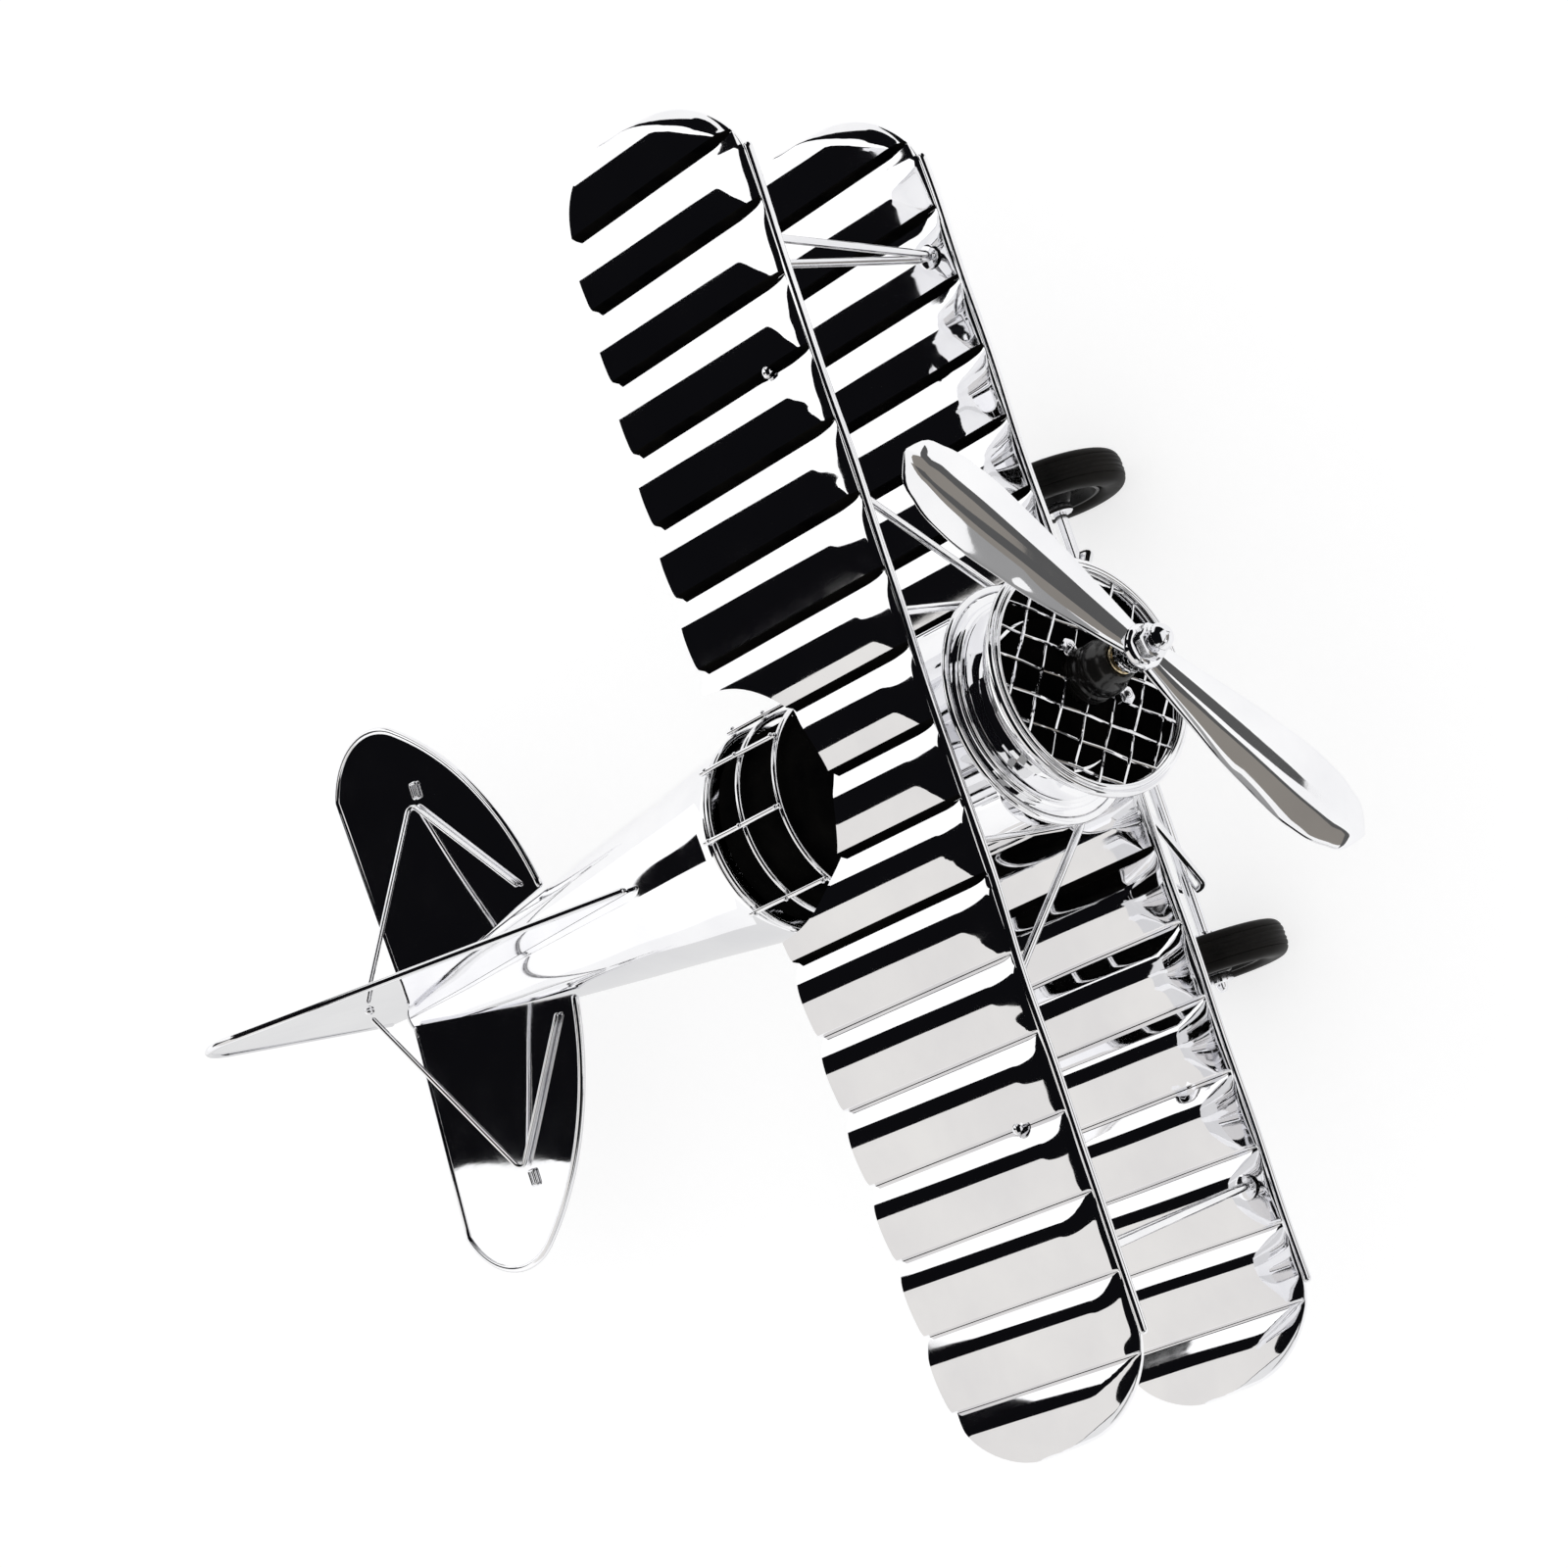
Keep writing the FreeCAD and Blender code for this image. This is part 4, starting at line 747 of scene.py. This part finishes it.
def plate_part(rim, centre, lift):
    """Thin plate inside a rim outline: rings of points shrink towards the centre on both faces."""
    rim, centre = np.asarray(rim, float), np.asarray(centre, float)
    rows = []
    for face in (1, -1):
        band = [[lift(p, face * SHEET / 2) for p in rim * (1 - t) + centre * t]
                for t in np.linspace(0, 1, 14)]
        rows += band if face > 0 else band[::-1]
    return grid(rows, True, True)


def fin():
    start = (60.0, AXIS_Z + cone_radius(60.0) + 0.75)
    top = arc_points((110.5, 22.6), (116.2, 21.2), BACK_TOP, 16)
    wire = list(line(start, (110.5, 22.6), 30)) + top[1:-1] + list(line(BACK_TOP, BACK_LOW, 16))
    path = np.array([[0.0, y, z] for y, z in wire])
    piece("fin_edge_wire", [tube(path, 0.5, 14)], WIRE, ["fin_rim"])
    foot = [(y, AXIS_Z + cone_radius(y) + 0.1) for y in np.linspace(116.0, 60.6, 24)]
    sheet = plate_part(wire + [(118.4, -11.2)] + foot, (103.0, 3.0), lambda p, h: [h, p[0], p[1]])
    piece("fin_sheet", [sheet], PLATE, ["fin"], wave=0.05)
    studs = [dome(np.array([s * 0.3, *LUG_AT]), (s, 0, 0), 0.7, 0.55) for s in (1, -1)]
    piece("fin_lug_studs", studs, TURNED, ["fin_lugs"])


def tailplane(side_name, side):
    root_front, root_back = (7.2, 83.0), (1.7, 114.9)
    front = arc_points(root_front, (24.4, 90.6), (34.8, 101.3), 26)
    tip = arc_points((34.8, 101.3), (36.7, 109.6), (30.6, 117.0), 22)
    wire = front + tip[1:-1] + list(line((30.6, 117.0), root_back, 18))
    path = np.array([[side * x, y, TAIL_Z] for x, y in wire])
    piece("tailplane_wire_" + side_name, [tube(path, 0.5, 14)], WIRE,
          ["tailplane_rim_" + side_name])
    root = list(line(root_back, root_front, 20))[1:-1]
    sheet = plate_part(wire + root, (17.0, 104.0), lambda p, h: [side * p[0], p[1], TAIL_Z + h])
    piece("tailplane_sheet_" + side_name, [sheet], PLATE,
          ["tailplane_" + side_name], wave=0.06)
    level = TAIL_Z + 0.66
    path = hairpin((side * 1.2, *LUG_AT), (side * 23.9, 101.5, level + 0.5),
                   (side * 8.6, 86.5, level), 0.8)
    piece("tail_brace_wire_" + side_name, [tube(path, 0.35, 12)], WIRE,
          ["tail_brace_" + side_name])


def clips():
    """Small rectangular wire link beside each tail brace."""
    left, right, low, high = 25.7, 27.6, 100.1, 101.1
    corners = [(left, low), (right, low), (right, high), (left, high)]
    parts = []
    for side in (1, -1):
        path = []
        for (x, y), (next_x, next_y) in zip(corners, corners[1:] + corners[:1]):
            path += [[side * (x + (next_x - x) * t), y + (next_y - y) * t, TAIL_Z + 0.53]
                     for t in np.linspace(0.06, 0.94, 6)]
        parts.append(tube(path, 0.2, 10, closed=True))
    piece("brace_links", parts, WIRE, ["brace_clips"])


# ---- struts --------------------------------------------------------------------------------

VEE_FOOT = (57.9, 4.2)
CABANE_X, CABANE_Y = 13.65, 2.0


def struts(side_name, side):
    path = hairpin((side * 60.5, 4.0, -0.35), (side * VEE_FOOT[0], VEE_FOOT[1], -28.15),
                   (side * 60.5, 12.3, -0.35), 0.75)
    piece("vee_strut_" + side_name, [tube(path, 0.5, 14)], WIRE,
          ["interplane_strut_" + side_name])
    rod = wander(line((side * 13.75, 0.6, -18.6), (side * 33.5, 6.0, -0.75), 30), 0.05, 3)
    piece("diagonal_rod_" + side_name, [tube(rod, 0.5, 14)], WIRE,
          ["diagonal_strut_" + side_name])
    section = [(0.29 * math.copysign(abs(math.cos(a)) ** 0.6, math.cos(a)),
                1.08 * math.copysign(abs(math.sin(a)) ** 0.5, math.sin(a))) for a in circle(16)]
    strip = [[[side * (CABANE_X + x), CABANE_Y + y, z] for x, y in section]
             for z in np.linspace(-17.5, 0.5, 20)]
    piece("cabane_strip_" + side_name, [capped(strip)], PLATE,
          ["cabane_strut_" + side_name])


def small_fittings():
    profile = [(-29.67, 0.01), (-29.67, 1.5), (-29.6, 1.5), (-29.46, 1.2), (-29.45, 0.01)]
    points, faces = lathe(profile, 32)
    feet = [(np.stack([points[:, 0] + side * VEE_FOOT[0], points[:, 2] + VEE_FOOT[1],
                       points[:, 1]], -1), faces) for side in (1, -1)]
    piece("strut_foot_washers", feet, TURNED, ["strut_feet"])
    heads = [dome(np.array([s * RIVET_AT[0], RIVET_AT[1], 0.36]), (0, 0, 1), 0.75, 0.6)
             for s in (1, -1)]
    piece("wing_rivet_heads", heads, TURNED, ["wing_rivets"])


# ---- undercarriage -------------------------------------------------------------------------

AXLE_Y, AXLE_Z, AXLE_END = 11.9, -47.0, 34.6
WHEEL_X = 30.3
TREAD_GROOVES = (-1.2, -0.6, 0.0, 0.6, 1.2)


def on_axle(x=0.0):
    return lambda points: np.asarray(points, float) + [x, AXLE_Y, AXLE_Z]


def undercarriage():
    rod = line((-AXLE_END, AXLE_Y, AXLE_Z), (AXLE_END, AXLE_Y, AXLE_Z), 40)
    piece("axle_rod", [tube(rod, 0.8, 24)], TURNED, ["axle"])
    collars = []
    for start in (27.05, 32.35, -28.25, -33.55):
        profile = [(0.0, 0.82), (0.0, 1.5), (0.2, 1.7), (1.0, 1.7), (1.2, 1.5), (1.2, 0.82)]
        collars.append(lathe([(start + x, r) for x, r in profile], 48, "x"))
    piece("axle_collar_set", collars, TURNED, ["axle_collars"], local=on_axle())
    for side_name, side in SIDES:
        path = hairpin((side * 9.0, 3.9, -31.75), (side * 20.5, AXLE_Y, AXLE_Z),
                       (side * 9.0, 19.9, -31.75), 1.9)
        piece("gear_wire_" + side_name, [tube(path, 0.55, 14)], WIRE,
              ["gear_leg_" + side_name])
        wheel(side_name, side * WHEEL_X)


def wheel(side_name, x):
    """Rubber tyre with rounded shoulders and five thin grooves round the tread, on its disc."""
    outer = []
    for a in np.radians(np.linspace(-168, 168, 85)):
        c, s = math.cos(a), math.sin(a)
        across = 2.3 * math.copysign(abs(s) ** 0.72, s)
        high = 7.35 + 1.85 * math.copysign(abs(c) ** 0.75, c)
        if c > 0.2:
            high -= sum(0.13 * math.exp(-((across - at) / 0.09) ** 2) for at in TREAD_GROOVES)
        outer.append((across, max(high, 5.62)))
    body = "wheel_" + side_name
    piece("tyre_tread_" + side_name, [lathe(outer, 144, "x")], RUBBER,
          ["tyre_" + side_name], body=body, local=on_axle(x))
    half = [(-1.9, 0.85), (-1.9, 1.7), (-1.6, 1.9), (-0.5, 2.6), (-0.45, 4.3), (-0.9, 4.75),
            (-1.7, 5.1), (-1.75, 5.5)]
    disc = half + [(-along, r) for along, r in half[::-1]]
    piece("wheel_disc_" + side_name, [lathe(disc, 96, "x")], DISC,
          ["wheel_hub_" + side_name], body=body, local=on_axle(x))


def skid():
    """Bent wire strut and a flat pad that lies on the floor."""
    foot_y = 106.5 * math.cos(PITCH) + SHIFT[1]

    def from_floor(points):
        return turn_x(np.asarray(points, float) - SHIFT, -PITCH)

    rows = []
    for z, inset in ((0.0, 0.25), (0.12, 0.05), (0.45, 0.0), (0.78, 0.05), (0.9, 0.25)):
        rows.append([[x, y, z] for x, y in rounded_ring(1.5, 2.5, foot_y, 1.0 - inset, 7)])
    points, faces = capped(rows, flip=True)
    foot = from_floor([0, foot_y, 0.7])
    top = np.array([0, 103.0, AXIS_Z - cone_radius(103.0) - 0.3])
    piece("tail_skid_strut", [(from_floor(points), faces), tube(line(foot, top, 14), 0.78, 18)],
          WIRE, ["tail_skid"])


# ---- studio --------------------------------------------------------------------------------

# The cards stand in upright planes round the model, in metres. Their edges and tones are what the
# plating reflects.
AFT_WALL, FRONT_WALL, SIDE_WALL = 0.292, -0.6, 0.62
FLOOR_SIZE, FLOOR_STEPS, FLOOR_Z = 3.0, 24, -0.0002


def emitter(name, corners, strength, colour=(1, 1, 1)):
    """Flat light panel or darker card, which only reflections show."""
    mesh = bpy.data.meshes.new(name)
    mesh.from_pydata(corners, [], [tuple(range(len(corners)))])
    obj = add(name, mesh)
    mat = bpy.data.materials.new(name + "_glow")
    mat.use_nodes = True
    nodes = mat.node_tree.nodes
    nodes.clear()
    glow = nodes.new("ShaderNodeEmission")
    glow.inputs["Strength"].default_value = strength
    glow.inputs["Color"].default_value = (*colour, 1)
    out = nodes.new("ShaderNodeOutputMaterial")
    mat.node_tree.links.new(glow.outputs[0], out.inputs["Surface"])
    mesh.materials.append(mat)
    obj.visible_camera = False
    obj.visible_shadow = False
    obj.visible_diffuse = False


def aft(name, corners, strength, near=0.0, colour=(1, 1, 1)):
    """Card on the wall behind the tail, or nearer by some metres; corners are (x, z)."""
    emitter(name, [(x, AFT_WALL - near, z) for x, z in corners], strength, colour)


def front(name, corners, strength, near=0.0, colour=(1, 1, 1)):
    """Card on the wall ahead of the nose; corners are (x, z)."""
    emitter(name, [(x, FRONT_WALL + near, z) for x, z in corners], strength, colour)


def underfoot(name, corners, strength):
    """Card that lies on the floor; corners are (x, y)."""
    emitter(name, [(x, y, FLOOR_Z / 2) for x, y in corners], strength)


def flank(name, side, corners, strength, near=0.0):
    """Card beyond a wing tip; corners are (y, z)."""
    emitter(name, [(side * (SIDE_WALL - near), y, z) for y, z in corners], strength)


def cards():
    aft("aft_right_panel", [(0.15, 0.0), (0.43, 0.0), (0.43, 0.58), (0.15, 0.58)], 1.2)
    aft("aft_middle_panel", [(0.002, 0.0), (0.15, 0.0), (0.15, 0.09), (0.09, 0.095),
                             (0.002, 0.105)], 1.2)
    aft("aft_left_panel", [(-0.6, 0.0), (0.002, 0.0), (0.002, 0.6), (-0.6, 0.6)], 0.84,
        colour=(1.0, 0.98, 0.955))
    aft("aft_low_panel", [(-0.5, 0.0), (0.002, 0.0), (0.002, 0.14), (-0.16, 0.14), (-0.3, 0.10),
                          (-0.5, 0.06)], 1.15, near=0.002)
    front("front_panel", [(-0.6, 0.0), (0.35, 0.0), (0.35, 0.62), (-0.6, 0.62)], 1.0)
    front("front_card", [(0.08, 0.03), (-0.6, 0.36), (-0.6, 0.49), (0.03, 0.065)], 0.33, near=0.004)
    front("front_low_card", [(-0.35, 0.0), (0.12, 0.0), (0.12, 0.10), (-0.35, 0.14)], 0.26,
          near=0.006, colour=(1.0, 0.93, 0.84))
    underfoot("floor_front_card", [(-0.35, -0.6), (0.12, -0.6), (0.12, -0.25), (-0.35, -0.25)],
              0.10)
    underfoot("floor_aft_card", [(-0.06, -0.02), (0.01, -0.02), (0.01, 0.14), (-0.06, 0.14)], 0.8)
    flank("port_panel", 1, [(-0.10, 0.0), (0.292, 0.0), (0.292, 0.6), (-0.02, 0.6)], 1.0)
    flank("starboard_panel", -1, [(-0.6, 0.0), (0.292, 0.0), (0.292, 0.6), (-0.12, 0.6),
                                  (-0.12, 0.18), (-0.6, 0.18)], 0.85)
    flank("starboard_card", -1, [(-0.6, 0.38), (-0.3, 0.34), (0.0, 0.22), (0.14, 0.12),
                                 (0.14, 0.26), (0.0, 0.37), (-0.3, 0.47), (-0.6, 0.50)], 0.3,
          near=0.004)


def surroundings():
    """Even pale light for everything but reflections, which see black where there is no card."""
    world = bpy.data.worlds.new("studio")
    bpy.context.scene.world = world
    world.use_nodes = True
    nodes, links = world.node_tree.nodes, world.node_tree.links
    nodes.clear()
    path = nodes.new("ShaderNodeLightPath")
    dark = nodes.new("ShaderNodeBackground")
    dark.inputs["Color"].default_value = (0.004, 0.004, 0.005, 1)
    fill = nodes.new("ShaderNodeBackground")
    fill.inputs["Color"].default_value = (1, 1, 1, 1)
    fill.inputs["Strength"].default_value = 0.85
    mix = nodes.new("ShaderNodeMixShader")
    out = nodes.new("ShaderNodeOutputWorld")
    links.new(path.outputs["Is Glossy Ray"], mix.inputs["Fac"])
    links.new(fill.outputs[0], mix.inputs[1])
    links.new(dark.outputs[0], mix.inputs[2])
    links.new(mix.outputs[0], out.inputs["Surface"])
    bpy.context.scene.view_settings.view_transform = "Standard"


def floor():
    mesh = bpy.data.meshes.new("floor")
    places = np.linspace(-FLOOR_SIZE, FLOOR_SIZE, FLOOR_STEPS)
    points, faces = grid([[[x, y, FLOOR_Z] for y in places] for x in places])
    mesh.from_pydata(points.tolist(), [], [f[::-1] for f in faces])
    obj = add("floor", mesh)
    mat, shader, _, _ = material("pale_floor")
    shader.inputs["Base Color"].default_value = (0.45, 0.45, 0.45, 1)
    shader.inputs["Roughness"].default_value = 0.9
    shader.inputs["Specular IOR Level"].default_value = 0.0
    shader.inputs["Emission Color"].default_value = (1, 1, 1, 1)
    shader.inputs["Emission Strength"].default_value = 0.66
    mesh.materials.append(mat)


# Angles in radians, the rest in millimetres along the camera's own axes from the model's origin.
CAMERA_AZIMUTH, CAMERA_HEIGHT, CAMERA_ROLL = -0.246348, 0.785498, 4.573817
CAMERA_RIGHT, CAMERA_UP, CAMERA_BACK = -16.763, -6.926, 414.583
SENSOR = 36.0
FOCAL_PIXELS, FRAME_PIXELS = 3848.256, 1600


def camera():
    """Three-quarter view from above the nose, rolled so that the span runs up the picture."""
    az, el, roll = CAMERA_AZIMUTH, CAMERA_HEIGHT, CAMERA_ROLL
    back = np.array([math.sin(az) * math.cos(el), -math.cos(az) * math.cos(el), math.sin(el)])
    level = unit(np.cross(-back, [0, 0, 1.0]))
    upright = np.cross(level, -back)
    right = math.cos(roll) * level + math.sin(roll) * upright
    up = -math.sin(roll) * level + math.cos(roll) * upright
    place = stand(CAMERA_RIGHT * right + CAMERA_UP * up + CAMERA_BACK * back)
    data = bpy.data.cameras.new("camera")
    data.sensor_width = SENSOR
    data.lens = FOCAL_PIXELS / FRAME_PIXELS * SENSOR
    data.clip_start = 0.01
    obj = add("camera", data)
    axes = np.array([turn_x(v, PITCH) for v in (right, up, back)])
    matrix = Matrix(axes.T.tolist()).to_4x4()
    matrix.translation = Vector(place)
    obj.matrix_world = matrix
    bpy.context.scene.camera = obj


def main():
    cards()
    surroundings()
    floor()
    camera()
    wing("upper_wing", (0.0, 0.0), True, 11, 0.012)
    wing("lower_wing", (1.45, -30.8), False, 23, 0.03)
    fuselage()
    tail_cone()
    saddle()
    cowl()
    woven_mesh()
    crankcase()
    propeller()
    fin()
    clips()
    small_fittings()
    undercarriage()
    skid()
    for side_name, side in SIDES:
        tailplane(side_name, side)
        struts(side_name, side)


main()
